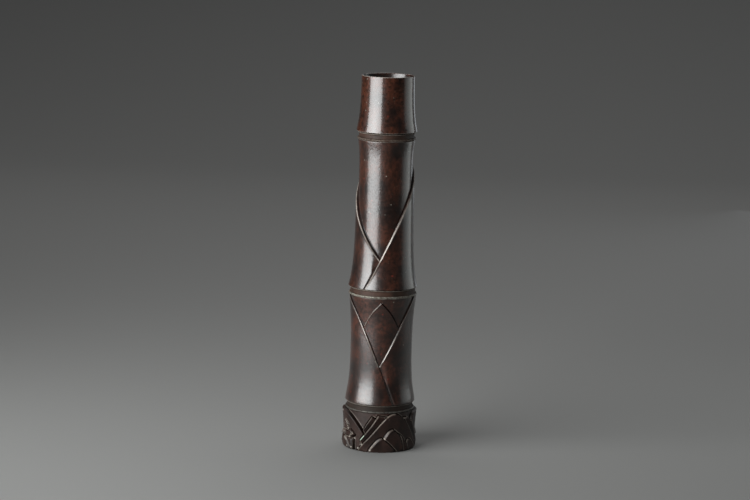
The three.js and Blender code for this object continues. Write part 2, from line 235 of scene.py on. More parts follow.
# Carved forms of one half of the foot, each in front of the ones before it: the points of its crest as
# angle and height, the points that close it behind or under what covers it, the width of its bevel and how
# often its corners are cut back. Some forms also say how far the face falls below the crest, over what width
# it is rounded (pillow), how wide the right-hand cut is (steep), how wide and how strongly the crest is
# rubbed (band, worn) and how dark the face is painted as shade (dark). All heights are raised by the same
# share, and the half is cut twice, at the two turns above.
RIB_ONE = dict(
    crest=((-27, 17.2), (-21.5, 21.4), (-13, 27.4), (-6.5, 25.8)),
    close=((2, 20), (-20, 8)), bevel=0.9, dark=0.55,
)
LEFT_HILL = dict(
    crest=((-137, 0), (-130, 8), (-124, 18), (-119.5, 25), (-115, 28.2), (-106, 29.4), (-75, 29.4),
           (-62, 28.4), (-50, 25.4), (-40, 21.2), (-31.5, 16.6), (-25, 12), (-16, 4.6)),
    close=((-12, -4), (-137, -4)), bevel=1.0, bends=2, fall=0.25, steep=1.2, worn=0.3,
)
RIGHT_RIB = dict(
    crest=((40, 26), (47.5, 26), (53, 24.6), (61, 19.4), (70, 13.2), (82, 5)),
    close=((70, -2), (36, 14)), bevel=0.9, dark=0.3,
)
RIB_TWO = dict(
    crest=((-31.5, 9.0), (-22.5, 14.2), (-14.5, 19.4), (-7.5, 24.6), (-3, 28.2), (10.5, 27.2)),
    close=((14, 20), (-24, 2), (-28.5, 5.4)), bevel=1.0, dark=0.55,
)
CENTRE_HILL = dict(
    crest=((-37, -1), (-27.5, 5.6), (-17.5, 10.7), (-6.5, 17.4), (2.5, 22.8), (11, 27.2), (17.5, 29.2),
           (26, 29.8), (33.5, 28.2), (41.5, 24.2), (53.5, 16.2), (67.5, 6.6), (76, 0)),
    close=((76, -4), (-37, -4)), bevel=1.0, bends=2,
)
RIGHT_STONE = dict(
    crest=((43, 3), (47.6, 8.0), (53.3, 9.2), (59, 6.7), (65, 3.6), (69, 0)),
    close=((69, -4), (43, -4)), bevel=0.8, bends=1,
)
SPUR = dict(
    crest=((20, 15), (30, 14.6), (38, 11.4), (44.4, 6.8), (51.5, 0.6)),
    close=((51.5, -4), (20, -4)), bevel=0.8, bends=1,
)
FRONT_HILL_RIGHT = dict(
    crest=((5, 3), (7.5, 9.2), (10.5, 12.4), (15, 15.5), (21, 17.0), (25.5, 16.2), (29.5, 14), (32.5, 11.8),
           (36.5, 7.2), (40, 0)),
    close=((40, -4), (5, -4)), bevel=2.1, bends=2, band=0.75, worn=0.7,
)
FRONT_HILL_LEFT = dict(
    crest=((-17, -1), (-14, 2), (-7.5, 6.3), (-1.5, 9.5), (4.5, 10.6), (11, 8.0), (17.5, 5.0), (26, 0.4)),
    close=((26, -4), (-17, -4)), bevel=2.0, bends=2, band=0.7, worn=0.65,
)
SLIVER_STONE = dict(
    crest=((-74, 20.2), (-68.5, 22.2), (-59.5, 19.5)),
    close=((-63, 17.4), (-68, 18.4)), bevel=0.5, worn=1.5,
)
GREY_STONE = dict(
    crest=((-95, 9.4), (-84, 13.4), (-70, 14.4), (-60.3, 15.0)),
    close=((-61, 12.4), (-68, 10.8), (-80, 8.4)), bevel=0.6, pillow=1.8, worn=1.6,
)
BAR_STONE = dict(
    crest=((-69, 11.2), (-60, 13.6), (-52.2, 15.6)),
    close=((-50.4, 13.6), (-58, 11.0), (-66, 9.4)), bevel=0.6, worn=0.3,
)
BOULDER = dict(
    crest=((-96, -1), (-90, 6), (-76, 8.6), (-62, 9.2), (-55.5, 9.0), (-48.5, 8.8), (-47, 5), (-46.6, 0)),
    close=((-46.6, -4), (-96, -4)), bevel=0.9, bends=1, pillow=2.5, worn=1.3,
)
FRONT_BOULDER = dict(
    crest=((-100, -1), (-96, 6), (-86, 8.8), (-76, 9.3), (-69, 8.6), (-63, 6.8), (-57.5, 3.8), (-53, 0)),
    close=((-53, -4), (-100, -4)), bevel=1.2, bends=2, pillow=2.8,
)
CARVED_FORMS = (
    RIB_ONE, LEFT_HILL, RIGHT_RIB, RIB_TWO, CENTRE_HILL, RIGHT_STONE, SPUR, FRONT_HILL_RIGHT,
    FRONT_HILL_LEFT, SLIVER_STONE, GREY_STONE, BAR_STONE, BOULDER, FRONT_BOULDER,
)

# Cracks and notches cut into the stones, as lines of angle and height, with their width and depth, and
# the rim that is rubbed beside each
CRACKS = (
    dict(line=((-45.5, 8.4), (-45, 0)), width=0.85, depth=2.4),
    dict(line=((-52.3, 15.9), (-47, 13.9), (-42.7, 12.0), (-47.5, 10.4), (-54.3, 9.8)),
         width=0.85, depth=2.2),
    dict(line=((-64, 18.0), (-59.5, 16.8)), width=0.7, depth=1.6),
    dict(line=((-80, 18.6), (-77, 15.2)), width=0.8, depth=1.5),
)
CRACK_RIM = 0.35
CRACK_RIM_AWAY = 1.6
CRACK_RIM_WEAR = 0.6
CRACK_FLOOR = -0.6

# Lines of green deposit, then points and lines where wear has bared the metal; the points are also painted
# glints and some lines painted highlights; share is how far it shows
GREEN_LINES = (
    dict(line=((-31.5, 9.2), (-25.5, 12.8)), width=0.45, share=1.0),
    dict(line=((-28, 16.4), (-20, 22.6), (-14, 27.0)), width=0.5, share=0.4),
)
WORN_AND_GLINT_SPOTS = (
    (-83.5, 13.4), (-79.8, 28.3), (-30, 5.5), (-15.5, 1.7), (-50.3, 2.2),
    (-61.5, 2.2), (-36.3, 2.4), (-43.5, 9.6),
)
SPOT_WIDTH = 0.6
SPOT_HEIGHT = 0.2
WORN_AND_HIGHLIGHT_LINES = (
    dict(line=((-68.5, 22.2), (-59.5, 19.5)), width=0.4, share=0.3),
    dict(line=((-74, 20.0), (-65, 18.4)), width=0.4, share=0.15),
    dict(line=((-84, 12.0), (-68, 12.8)), width=1.3, share=0.22),
    dict(line=((-60.5, 15.2), (-60.8, 16.8)), width=0.4, share=0.35),
    dict(line=((-58, 9.9), (-50.5, 13.4)), width=0.4, share=0.35),
    dict(line=((-49.5, 16.2), (-40.5, 12.2)), width=0.4, share=0.3),
    dict(line=((-44.5, 9.6), (-42.4, 9.2)), width=0.8, share=0.3),
    dict(line=((-42.6, 8), (-42.2, 2)), width=0.4, share=0.25),
    # The boulder's shoulder: a painted highlight
    dict(line=((-71, 8.2), (-64.5, 6.8)), width=0.8, share=0.35),
)
FOOT_MASKS = ("edge", "hollow", "green", "bare")

# Camera, fitted to the photograph's rims and axis
CAMERA_PLACE = (0.0, -1.850, 0.462)
CAMERA_PITCH = 9.282
CAMERA_YAW = 0.217
CAMERA_ROLL = 1.502
SENSOR_WIDTH = 36.0
CAMERA_LENS = 2341.0 / 750.0 * SENSOR_WIDTH


# Node arithmetic

class Field:
    """A number that varies over a surface, as a node socket that takes plain arithmetic."""

    def __init__(self, tree, socket):
        self.tree = tree
        self.socket = socket

    def math(self, operation, *others):
        node = self.tree.nodes.new("ShaderNodeMath")
        node.operation = operation
        for slot, value in zip(node.inputs, (self, *others)):
            plug(self.tree, value, slot)
        return Field(self.tree, node.outputs[0])

    def __add__(self, other):
        return self.math("ADD", other)

    def __sub__(self, other):
        return self.math("SUBTRACT", other)

    def __rsub__(self, other):
        return (self * -1.0) + other

    def __mul__(self, other):
        return self.math("MULTIPLY", other)

    def __truediv__(self, other):
        return self.math("DIVIDE", other)

    def __pow__(self, other):
        return self.math("POWER", other)

    def ramp(self, low, high, kind="SMOOTHSTEP"):
        """From 0 at low to 1 at high."""
        node = self.tree.nodes.new("ShaderNodeMapRange")
        node.interpolation_type = kind
        plug(self.tree, self, node.inputs["Value"])
        plug(self.tree, low, node.inputs["From Min"])
        plug(self.tree, high, node.inputs["From Max"])
        return Field(self.tree, node.outputs["Result"])


def plug(tree, value, socket):
    """Links a field or a socket to a socket, or sets a plain value on it."""
    if isinstance(value, Field):
        tree.links.new(value.socket, socket)
    elif isinstance(value, bpy.types.NodeSocket):
        tree.links.new(value, socket)
    else:
        socket.default_value = value


def add_node(tree, kind, inputs=(), **settings):
    """A node of a kind, with its settings and its inputs plugged by name or number."""
    node = tree.nodes.new(kind)
    for name, value in settings.items():
        setattr(node, name, value)
    for name, value in dict(inputs).items():
        plug(tree, value, node.inputs[name])
    return node


def new_group(name, kind, inputs, outputs):
    """An empty node group with named sockets, and its input node's sockets by name.

    Each input has its default, or its type if it has none. Outputs are a geometry, or numbers in a shader.
    """
    tree = bpy.data.node_groups.new(name, kind)
    number_types = {float: "NodeSocketFloat", int: "NodeSocketInt"}
    for socket_name, default in inputs.items():
        socket_type = number_types.get(type(default), default)
        socket = tree.interface.new_socket(socket_name, in_out="INPUT", socket_type=socket_type)
        if socket_type != default:
            socket.default_value = default
    result_type = "NodeSocketGeometry" if kind == "GeometryNodeTree" else "NodeSocketFloat"
    for socket_name in outputs:
        tree.interface.new_socket(socket_name, in_out="OUTPUT", socket_type=result_type)
    source = tree.nodes.new("NodeGroupInput")
    return tree, {socket.name: Field(tree, socket) for socket in source.outputs if socket.name}


def close_group(tree, results):
    """Plugs a group's results into its output node."""
    sink = tree.nodes.new("NodeGroupOutput")
    for name, value in results.items():
        plug(tree, value, sink.inputs[name])


def noise_field(tree, place, scale, detail, roughness=0.5):
    """Noise about a half, read at a place."""
    noise = add_node(tree, "ShaderNodeTexNoise", {
        "Vector": place, "Scale": scale, "Detail": detail, "Roughness": roughness,
    })
    return Field(tree, noise.outputs[0])


# Objects

def add_object(name, data):
    made = bpy.data.objects.new(name, data)
    bpy.context.collection.objects.link(made)
    return made


def mesh_object(name, vertices, faces, masks, material, sharp=35.0):
    """A smooth-shaded object at the origin, with masks on its points, from vertices in millimetres."""
    mesh = bpy.data.meshes.new(name)
    mesh.from_pydata((np.asarray(vertices) * MM).tolist(), [], faces)
    for mask, values in masks.items():
        layer = mesh.attributes.new(mask, "FLOAT", "POINT")
        layer.data.foreach_set("value", np.asarray(values, dtype=np.float32))
    shaped = bmesh.new()
    shaped.from_mesh(mesh)
    bmesh.ops.recalc_face_normals(shaped, faces=shaped.faces)
    shaped.to_mesh(mesh)
    shaped.free()
    mesh.polygons.foreach_set("use_smooth", [True] * len(mesh.polygons))
    mesh.set_sharp_from_angle(angle=math.radians(sharp))
    mesh.materials.append(material)
    return add_object(name, mesh)


def grown_object(name, tree, values, start=None):
    """An object made by a geometry node tree with its named inputs set, as a plain mesh."""
    made = add_object(name, start or bpy.data.meshes.new(name))
    growth = made.modifiers.new(name, "NODES")
    growth.node_group = tree
    for item in tree.interface.items_tree:
        if item.in_out == "INPUT" and item.name in values:
            growth[item.identifier] = values[item.name]
    graph = bpy.context.evaluated_depsgraph_get()
    mesh = bpy.data.meshes.new_from_object(made.evaluated_get(graph))
    made.modifiers.clear()
    made.data = mesh
    mesh.name = name
    return made


def place_piece(piece, node):
    """Puts a finished piece on the vase in place of a CAD node."""
    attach(piece, "root")
    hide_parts(node)


def ring_faces(rows, columns, wrap_rows=False):
    """Quads of a grid that closes round its columns, and round its rows too if asked."""
    faces = []
    for row in range(rows if wrap_rows else rows - 1):
        above = (row + 1) % rows
        for column in range(columns):
            beside = (column + 1) % columns
            faces.append((
                row * columns + column, row * columns + beside,
                above * columns + beside, above * columns + column,
            ))
    return faces


def polar(angle, radius, height):
    """Points at an angle from the front, a radius and a height."""
    turn = np.radians(angle)
    return np.stack([radius * np.sin(turn), -radius * np.cos(turn), height + 0.0 * turn], axis=-1)


def smoothstep(value, low, high):
    """From 0 at low to 1 at high, eased at both ends."""
    share = np.clip((value - low) / (high - low), 0.0, 1.0)
    return share * share * (3.0 - 2.0 * share)


def bell(distance, width):
    """1 at no distance, dying away over a width on either side."""
    return np.exp(-(distance / width) ** 2)


def base_of(node):
    """The height of a CAD node's lowest point, in millimetres."""
    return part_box(node)[0][2] / MM


def length_of(node):
    """How tall a CAD node is, in millimetres."""
    low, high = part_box(node)
    return (high[2] - low[2]) / MM


# Grids turned round the axis

GRID_INPUTS = {"Around": 64, "Along": 64, "Material": "NodeSocketMaterial"}


def unit_grid(tree, size):
    """A flat grid, with the angle that runs across it and the share of the section that runs along it."""
    grid = add_node(tree, "GeometryNodeMeshGrid", {
        "Size X": 1.0, "Size Y": 1.0, "Vertices X": size["Around"], "Vertices Y": size["Along"],
    })
    place = add_node(tree, "GeometryNodeInputPosition")
    split = add_node(tree, "ShaderNodeSeparateXYZ", {0: place.outputs[0]})
    angle = Field(tree, split.outputs["X"]) * (2.0 * math.pi)
    section = Field(tree, split.outputs["Y"]) + 0.5
    return grid.outputs[0], angle, section


def spin(tree, angle, radius, height, forward=1.0):
    """The place of a point at a radius and a height once it is turned by an angle."""
    point = add_node(tree, "ShaderNodeCombineXYZ", {
        "X": angle.math("SINE") * radius, "Y": angle.math("COSINE") * radius * forward, "Z": height,
    })
    return point.outputs[0]


def store_mask(tree, geometry, name, value):
    """Keeps a field on the points of a flat grid, which is read there before the grid is moved."""
    stored = add_node(tree, "GeometryNodeStoreNamedAttribute", {
        "Geometry": geometry, "Name": name, "Value": value,
    }, data_type="FLOAT", domain="POINT")
    return stored.outputs[0]


def finish_tree(tree, grid, place, material):
    """Moves a grid to its place, closes its seams and gives it smooth shading and a material."""
    moved = add_node(tree, "GeometryNodeSetPosition", {"Geometry": grid, "Position": place})
    closed = add_node(tree, "GeometryNodeMergeByDistance", {"Geometry": moved.outputs[0], "Distance": 1e-6})
    smooth = add_node(tree, "GeometryNodeSetShadeSmooth", {"Geometry": closed.outputs[0]})
    real = add_node(tree, "GeometryNodeRealizeInstances", {"Geometry": smooth.outputs[0]})
    coated = add_node(tree, "GeometryNodeSetMaterial", {"Geometry": real.outputs[0], "Material": material})
    close_group(tree, {"Geometry": coated.outputs[0]})


# Internodes

def culm_radius(culm, height):
    """The outside of an internode at a height above its foot."""
    from_top = np.maximum(0.0, length_of(culm["node"]) - height)
    foot = culm["foot_flare"] * np.exp(-(np.maximum(0.0, height) / culm["foot_reach"]) ** culm["foot_power"])
    top = culm["top_flare"] * np.exp(-(from_top / culm["top_reach"]) ** culm["top_power"])
    return culm["waist"] + foot + top


def waist_bore(culm):
    return culm["waist"] - culm["wall"]


def foot_seat(culm):
    """The radius of the seat in an internode's foot, which takes a collar's spigot."""
    return waist_bore(culm) + culm["foot_flare"] / 2.0


def top_seat(culm):
    """The radius of the seat in an internode's top, which takes a collar's spigot."""
    return waist_bore(culm) + culm["top_flare"] / 4.0


def make_internode_tree():
    """A waisted bamboo tube: its section runs up the outside, over the rim and down the bore."""
    sizes = (
        "Base", "Length", "Waist", "Foot Flare", "Foot Reach", "Foot Power", "Top Flare", "Top Reach",
        "Top Power", "Bore", "Foot Seat", "Seat Depth", "Splay", "Splay Depth", "Top Round", "Foot Round",
        "Unevenness",
    )
    inputs = {**dict.fromkeys(sizes, 0.0), **GRID_INPUTS}
    tree, size = new_group("waisted_tube", "GeometryNodeTree", inputs, ["Geometry"])
    grid, angle, section = unit_grid(tree, size)
    inside = section.math("GREATER_THAN", 0.5)
    climb = 1.0 - (section * 2.0 - 1.0).math("ABSOLUTE")
    height = (1.0 - (climb * math.pi).math("COSINE")) * 0.5 * size["Length"]
    from_top = (size["Length"] - height).math("MAXIMUM", 0.0)

    foot_share = ((height / size["Foot Reach"]) ** size["Foot Power"] * -1.0).math("EXPONENT")
    top_share = ((from_top / size["Top Reach"]) ** size["Top Power"] * -1.0).math("EXPONENT")
    outside = size["Waist"] + size["Foot Flare"] * foot_share + size["Top Flare"] * top_share
    seat_share = 1.0 - height.ramp(size["Seat Depth"], size["Seat Depth"] + size["Foot Reach"], "LINEAR")
    splay_share = 1.0 - from_top.ramp(0.0, size["Splay Depth"], "LINEAR")
    bore = size["Bore"] + (size["Foot Seat"] - size["Bore"]) * seat_share + size["Splay"] * splay_share

    top_curve = 1.0 - from_top.ramp(0.0, size["Top Round"], "LINEAR")
    foot_curve = 1.0 - height.ramp(0.0, size["Foot Round"], "LINEAR")
    thickness = (1.0 - top_curve * top_curve).math("SQRT") * (1.0 - foot_curve * foot_curve).math("SQRT")
    half_wall = (outside - bore) * 0.5 * thickness
    radius = (outside + bore) * 0.5 + half_wall * (1.0 - inside * 2.0)
    waver = noise_field(tree, spin(tree, angle, 1.0, height * WAVER_CLIMB), WAVER_SCALE, detail=1.0)
    wavered = radius + (waver - 0.5) * size["Unevenness"] * thickness

    worn_depth = inside * (RIM_WEAR_INSIDE - RIM_WEAR) + RIM_WEAR
    worn = (1.0 - from_top.ramp(0.0, worn_depth)).math("MAXIMUM", 1.0 - height.ramp(0.0, worn_depth))
    edged = store_mask(tree, grid, "edge", worn)
    masked = store_mask(tree, edged, "inside", inside * from_top.ramp(*DARK_BORE_RUN))
    point = spin(tree, angle, wavered * MM, (height + size["Base"]) * MM, forward=-1.0)
    finish_tree(tree, masked, point, size["Material"])
    return tree


def make_internodes(tree, finishes):
    """The three tubes, each with its own sizes on the tree's inputs."""
    for culm, finish in zip((MOUTH, MIDDLE, LOWER), finishes):
        node = culm["node"]
        sizes = {name.replace("_", " ").title(): value for name, value in culm.items()}
        piece = grown_object(f"{node}_cast", tree, {
            **sizes, "Base": base_of(node), "Length": length_of(node), "Bore": waist_bore(culm),
            "Foot Seat": foot_seat(culm), "Seat Depth": SEAT_DEPTH, "Unevenness": CAST_UNEVENNESS,
            "Around": CULM_AROUND + 1, "Along": CULM_ALONG, "Material": finish,
        })
        place_piece(piece, node)


# Node collars and base plate

def make_turned_tree():
    """A ring turned from a closed outline, with its edges rounded and its surface left a little uneven."""
    tree, size = new_group("turned_ring", "GeometryNodeTree", {
        "Outline": "NodeSocketGeometry", "Edge Round": 0.2, "Recess Radius": 20.0, "Crest Radius": 21.0,
        "Lip Base": NO_LIP, "Unevenness": 0.0, "Uneven Scale": 1.0, **GRID_INPUTS,
    }, ["Geometry"])
    curve = add_node(tree, "GeometryNodeMeshToCurve", {"Mesh": size["Outline"]})
    rounded = add_node(tree, "GeometryNodeFilletCurve", {
        "Curve": curve.outputs[0], "Radius": size["Edge Round"] * MM, "Limit Radius": True, "Count": 4,
    }, mode="POLY")
    grid, angle, section = unit_grid(tree, size)
    sample = add_node(tree, "GeometryNodeSampleCurve", {
        "Curves": rounded.outputs[0], "Factor": section,
    }, mode="FACTOR", use_all_curves=True)
    outline = add_node(tree, "ShaderNodeSeparateXYZ", {0: sample.outputs["Position"]})
    radius = Field(tree, outline.outputs["X"])
    height = Field(tree, outline.outputs["Z"])
    stand = (radius / MM).ramp(size["Recess Radius"], size["Crest Radius"], "LINEAR")
    waver = noise_field(tree, spin(tree, angle, radius, height), size["Uneven Scale"] / MM, detail=2.0)
    wavered = radius + (waver - 0.5) * size["Unevenness"] * MM * stand

    rise = height / MM - size["Lip Base"]
    # Above the lip the neck under the flare is marked hollow, which paints it dark as the flare's shadow
    above_lip = rise.ramp(LIP_HEIGHT, LIP_HEIGHT + LIP_BLUR, "LINEAR")
    # The lip mask is a pale line painted on the lip as its highlight
    lip = rise.ramp(*LIP_HIGHLIGHT_RUN, "LINEAR") * (1.0 - above_lip) * stand
    masked = grid
    for name, mask in (("edge", stand), ("lip", lip), ("hollow", above_lip)):
        masked = store_mask(tree, masked, name, mask)
    finish_tree(tree, masked, spin(tree, angle, wavered, height, forward=-1.0), size["Material"])
    return tree


def outline_mesh(name, outline):
    """A closed outline of (radius, height) pairs as edges in the XZ plane."""
    mesh = bpy.data.meshes.new(name)
    points = [(radius * MM, 0.0, height * MM) for radius, height in outline]
    count = len(points)
    mesh.from_pydata(points, [(step, (step + 1) % count) for step in range(count)], [])
    return mesh


def sheathed_radius(culm, height):
    """The outside of the sheath on an internode at a height."""
    return culm_radius(culm, height) + SHEATH_BED + SHEATH_THICKNESS


def collar_outline(collar, height, bead, lip, below, above):
    """The section of a node: spigot, bead, recessed band, lip under the flare, spigot and bore."""
    band = lip - LIP_STAND
    lip_top = height - LIP_DROP
    spigot_below = below - SOLDER_GAP
    spigot_above = above - SOLDER_GAP
    bore = min(spigot_below, spigot_above) - COLLAR_WALL
    bulge, bead_rise = collar["bulge"], collar["bead_rise"]
    turns = np.linspace(0.0, math.pi, BEAD_STEPS)
    bead_arc = [(bead + bulge * (math.sin(turn) - 1.0), bead_rise * turn / math.pi) for turn in turns]
    return [
        (spigot_below, -SPIGOT_DEPTH), (spigot_below, 0.0), *bead_arc, (band, bead_rise),
        (band, lip_top - LIP_HEIGHT), (lip, lip_top - LIP_HEIGHT / 2.0), (lip, lip_top),
        (lip - LIP_NECK, lip_top), (lip - LIP_NECK, height),
        (spigot_above, height), (spigot_above, height + SPIGOT_DEPTH),
        (bore, height + SPIGOT_DEPTH), (bore, -SPIGOT_DEPTH),
    ]


def make_collar(tree, collar, tube, flare, below, above, finish):
    """One node, from the radii of the tube below it, the flare above it and the seats of its two spigots."""
    node = collar["node"]
    base = base_of(node) + SPIGOT_DEPTH
    height = length_of(node) - 2.0 * SPIGOT_DEPTH
    bead = float(tube + collar["bead_out"])
    lip = float(flare - collar["lip_back"])
    section = collar_outline(collar, height, bead, lip, below, above)
    outline = [(radius, base + rise) for radius, rise in section]
    piece = grown_object(f"{node}_ring", tree, {
        "Edge Round": COLLAR_EDGE_ROUND, "Recess Radius": lip - LIP_STAND, "Crest Radius": min(bead, lip),
        "Lip Base": base + height - LIP_DROP - LIP_HEIGHT,
        "Unevenness": collar["uneven"], "Uneven Scale": COLLAR_UNEVEN_SCALE,
        "Around": COLLAR_AROUND + 1, "Along": COLLAR_ALONG, "Material": finish,
    }, outline_mesh(node, outline))
    place_piece(piece, node)


def make_collars(tree, finishes):
    """The three nodes, from the top down."""
    upper, middle, lower = finishes
    middle_top = culm_radius(MIDDLE, length_of("middle_culm"))
    lower_top = sheathed_radius(LOWER, length_of("lower_culm"))
    mouth_foot = culm_radius(MOUTH, 0.0)
    middle_foot = sheathed_radius(MIDDLE, 0.0)
    lower_foot = sheathed_radius(LOWER, 0.0)
    make_collar(tree, UPPER_COLLAR, middle_top, mouth_foot, top_seat(MIDDLE), foot_seat(MOUTH), upper)
    make_collar(tree, MIDDLE_COLLAR, lower_top, middle_foot, top_seat(LOWER), foot_seat(MIDDLE), middle)
    make_collar(tree, LOWER_COLLAR, FOOT_RADIUS, lower_foot, FOOT_BORE, foot_seat(LOWER), lower)


def make_base_plate(tree, finish):
    """The disc that closes the underside, turned round a pole too thin to see."""
    base = base_of("base_plate")
    top = base + PLATE_THICKNESS
    rim = PLATE_SEAT - SOLDER_GAP
    outline = [(PLATE_POLE, base), (rim, base), (rim, top), (PLATE_POLE, top)]
    piece = grown_object("base_plate_disc", tree, {
        "Edge Round": PLATE_EDGE_ROUND, "Recess Radius": 0.0, "Crest Radius": rim,
        "Unevenness": PLATE_UNEVENNESS, "Uneven Scale": PLATE_UNEVEN_SCALE,
        "Around": COLLAR_AROUND + 1, "Along": COLLAR_ALONG, "Material": finish,
    }, outline_mesh("base_plate", outline))
    place_piece(piece, "base_plate")


# Sheaths and leaf tip

def edge_angle(sheath, edge, height):
    """Where one edge of a sheath stands at a height."""
    left = np.maximum(0.0, 1.0 - height / sheath["height"])
    return edge["base"] + (edge["top"] - edge["base"]) * (1.0 - left ** edge["ease"])


def wrap_angle(sheath, height):
    """How far round a sheath goes at a height, which is more than a full turn where it laps."""
    over = edge_angle(sheath, sheath["over"], height)
    return 360.0 - sheath["side"] * (over - edge_angle(sheath, sheath["under"], height))


def lapped_angle(wrap):
    return np.maximum(0.0, wrap - 360.0)


def lap_share(wrap):
    """From 0 where a sheath stands open to 1 where it laps."""
    return smoothstep(wrap, 360.0 - LAP_FADE, 360.0)


def opening_height(sheath, opening):
    """The height at which the wrap opens by an angle, found by halving."""
    low, high = 0.0, sheath["height"]
    for _ in range(40):
        middle = (low + high) / 2.0
        if wrap_angle(sheath, middle) > 360.0 - opening:
            low = middle
        else:
            high = middle
    return low


def degree_length(radius):
    """The length of a degree round a wrap, measured square to its slanting edges."""
    return np.radians(1.0) * radius * EDGE_SLANT


def edge_fall(distance):
    """How far the surface falls away at an edge that is rounded over."""
    inset = EDGE_ROUND - np.clip(distance, 0.0, EDGE_ROUND)
    return EDGE_ROUND - np.sqrt(np.maximum(0.0, EDGE_ROUND ** 2 - inset ** 2))


def edge_bevel(distance, thickness, width):
    """How far a bevel cuts an edge down, leaving a share of its thickness."""
    return BEVEL_SHARE * thickness * np.clip(1.0 - distance / width, 0.0, 1.0)


def edge_rim(distance):
    """A low rim that the chaser left along an edge."""
    return EDGE_RIM * bell(distance, EDGE_RIM_WIDTH)


def edge_crease(angle, side, arc, body, lifted, free, heights):
    """Columns of the crease in the corner between an edge and the culm, where the edge is free; the wrap
    paints them black as shade.
    """
    away = np.linspace(0.0, 1.0, CREASE_COLUMNS)[None, :]
    turn = angle + side * away * free * CREASE_WIDTH / arc
    low = body - SHEATH_BED + CREASE_FLOOR + CREASE_RISE * (1.0 - away) ** 2
    return polar(turn, lifted + (low - lifted) * free, heights)


def gathered(count, even):
    """Shares from 0 to 1, closer together at both ends; even is the share of plain spacing."""
    step = np.linspace(0.0, 1.0, count)
    return even * step + (1.0 - even) * (1.0 - np.cos(math.pi * step)) / 2.0


def lap_columns(wrap):
    """Angles travelled from the tucked edge, close together by the lap's groove and at the edge on top."""
    near = lapped_angle(wrap) + GROOVE_NEAR
    far = lapped_angle(wrap) + GROOVE_FAR
    tucked = near * np.linspace(0.0, 1.0, TUCKED_COLUMNS, endpoint=False)
    grooved = near + (far - near) * np.linspace(0.0, 1.0, GROOVE_COLUMNS, endpoint=False)
    step = np.linspace(0.0, 1.0, SHEATH_COLUMNS)
    eased = np.sin(math.pi / 2.0 * step)
    free = far + (wrap - far) * (EVEN_COLUMNS * step + (1.0 - EVEN_COLUMNS) * eased)
    return np.concatenate([tucked, grooved, free], axis=1)


def wrapped_piece(name, strips, base, material):
    """A closed wrap from strips of points in order round its section, each with its edge mask and its mask of
    painted shade.
    """
    loop = np.concatenate([points for points, edge, hollow in strips], axis=1)
    rows, count = loop.shape[:2]
    vertices = loop.reshape(-1, 3) + np.array([0.0, 0.0, base])
    faces = ring_faces(rows, count)
    faces.append(tuple(range(count)))
    faces.append(tuple((rows - 1) * count + column for column in range(count)))
    masks = {}
    for place, mask in ((1, "edge"), (2, "hollow")):
        spread = [np.broadcast_to(strip[place], strip[0].shape[:2]) for strip in strips]
        masks[mask] = np.concatenate(spread, axis=1).ravel()
    return mesh_object(name, vertices, faces, masks, material)


def sheath_section(sheath, heights, wrap, travel, arc):
    """How thick the wrap is over its columns, and how far it is rubbed along its edges."""
    lapped, lap = lapped_angle(wrap), lap_share(wrap)
    from_under, from_over = travel * arc, (wrap - travel) * arc
    nearest = np.minimum(from_under, from_over)

    ramp = LAP_RAMP + (sheath["lap_near"] - LAP_RAMP) * smoothstep(lapped, 0.0, 2.0 * LAP_RAMP)
    dip = 1.0 - smoothstep((travel - lapped) / ramp, 0.0, 1.0)
    thickness = SHEATH_THICKNESS - (SHEATH_THICKNESS - TUCKED_EDGE) * lap * dip
    upward = smoothstep(heights / sheath["height"], *THIN_RUN)
    thickness = thickness - sheath["thinned"] * upward * bell(nearest, THIN_REACH)

    on_lap = smoothstep(lapped, 0.0, LAP_GROOVE_START)
    groove = sheath["lap_groove"] * bell((travel - lapped) * arc, LAP_GROOVE_WIDTH) * on_lap
    over_bevel = edge_bevel(from_over, thickness, EDGE_BEVEL * (1.0 - LAP_NARROWING * on_lap))
    over_bevel = over_bevel * (1.0 + (sheath["lap_bevel"] - 1.0) * on_lap)
    under_bevel = edge_bevel(from_under, thickness, UNDER_BEVEL) * (1.0 - lap)
    rimmed = 1.0 + (sheath["lap_rim"] - 1.0) * on_lap
    rims = edge_rim(from_under) * (1.0 - lap) + edge_rim(from_over) * rimmed
    cuts = edge_fall(nearest) + groove + np.maximum(over_bevel, under_bevel)
    worn = bell(nearest - EDGE_TOP, EDGE_WEAR) * rimmed * sheath["wear"]
    return thickness + rims - cuts, worn


def make_sheath(sheath, finish):
    """A sheath wrapped round its culm and lapped at the front, with a crease along the edge that shows,
    painted black as shade.
    """
    side = sheath["side"]
    heights = (gathered(SHEATH_ROWS, EVEN_ROWS) * (sheath["height"] - TIP_TRIM))[:, None]
    wrap = wrap_angle(sheath, heights)
    under = edge_angle(sheath, sheath["under"], heights)
    body = culm_radius(sheath["culm"], heights) + SHEATH_BED
    arc = degree_length(body)
    travel = lap_columns(wrap)
    thickness, worn = sheath_section(sheath, heights, wrap, travel, arc)
    outer = polar(under - side * travel, body + thickness, heights)

    lift = (TUCKED_EDGE + SOLDER_GAP) * lap_share(wrap)
    back = np.linspace(1.0, 0.0, SHEATH_INNER_COLUMNS)[None, :] * wrap
    climb = smoothstep(back, 360.0 - 2.0 * LAP_CLEAR, 360.0 - LAP_CLEAR)
    inner = polar(under - side * back, body + lift * climb, heights)

    free = smoothstep(360.0 - wrap, 0.0, LAP_GROOVE_START)
    # Crease strips go in with a hollow mask of 1, which paints them black as shade
    strips = [(outer, worn, 0.0), (inner, 0.0, 0.0)]
    if side > 0:
        crease = edge_crease(under, side, arc, body, body + lift, free, heights)[:, ::-1]
        strips.insert(0, (crease, 0.0, 1.0))
    else:
        crease = edge_crease(under - side * wrap, -side, arc, body, body + lift, free, heights)
        strips.insert(1, (crease, 0.0, 1.0))
    piece = wrapped_piece(f"{sheath['node']}_wrap", strips, base_of(sheath["node"]), finish)
    place_piece(piece, sheath["node"])


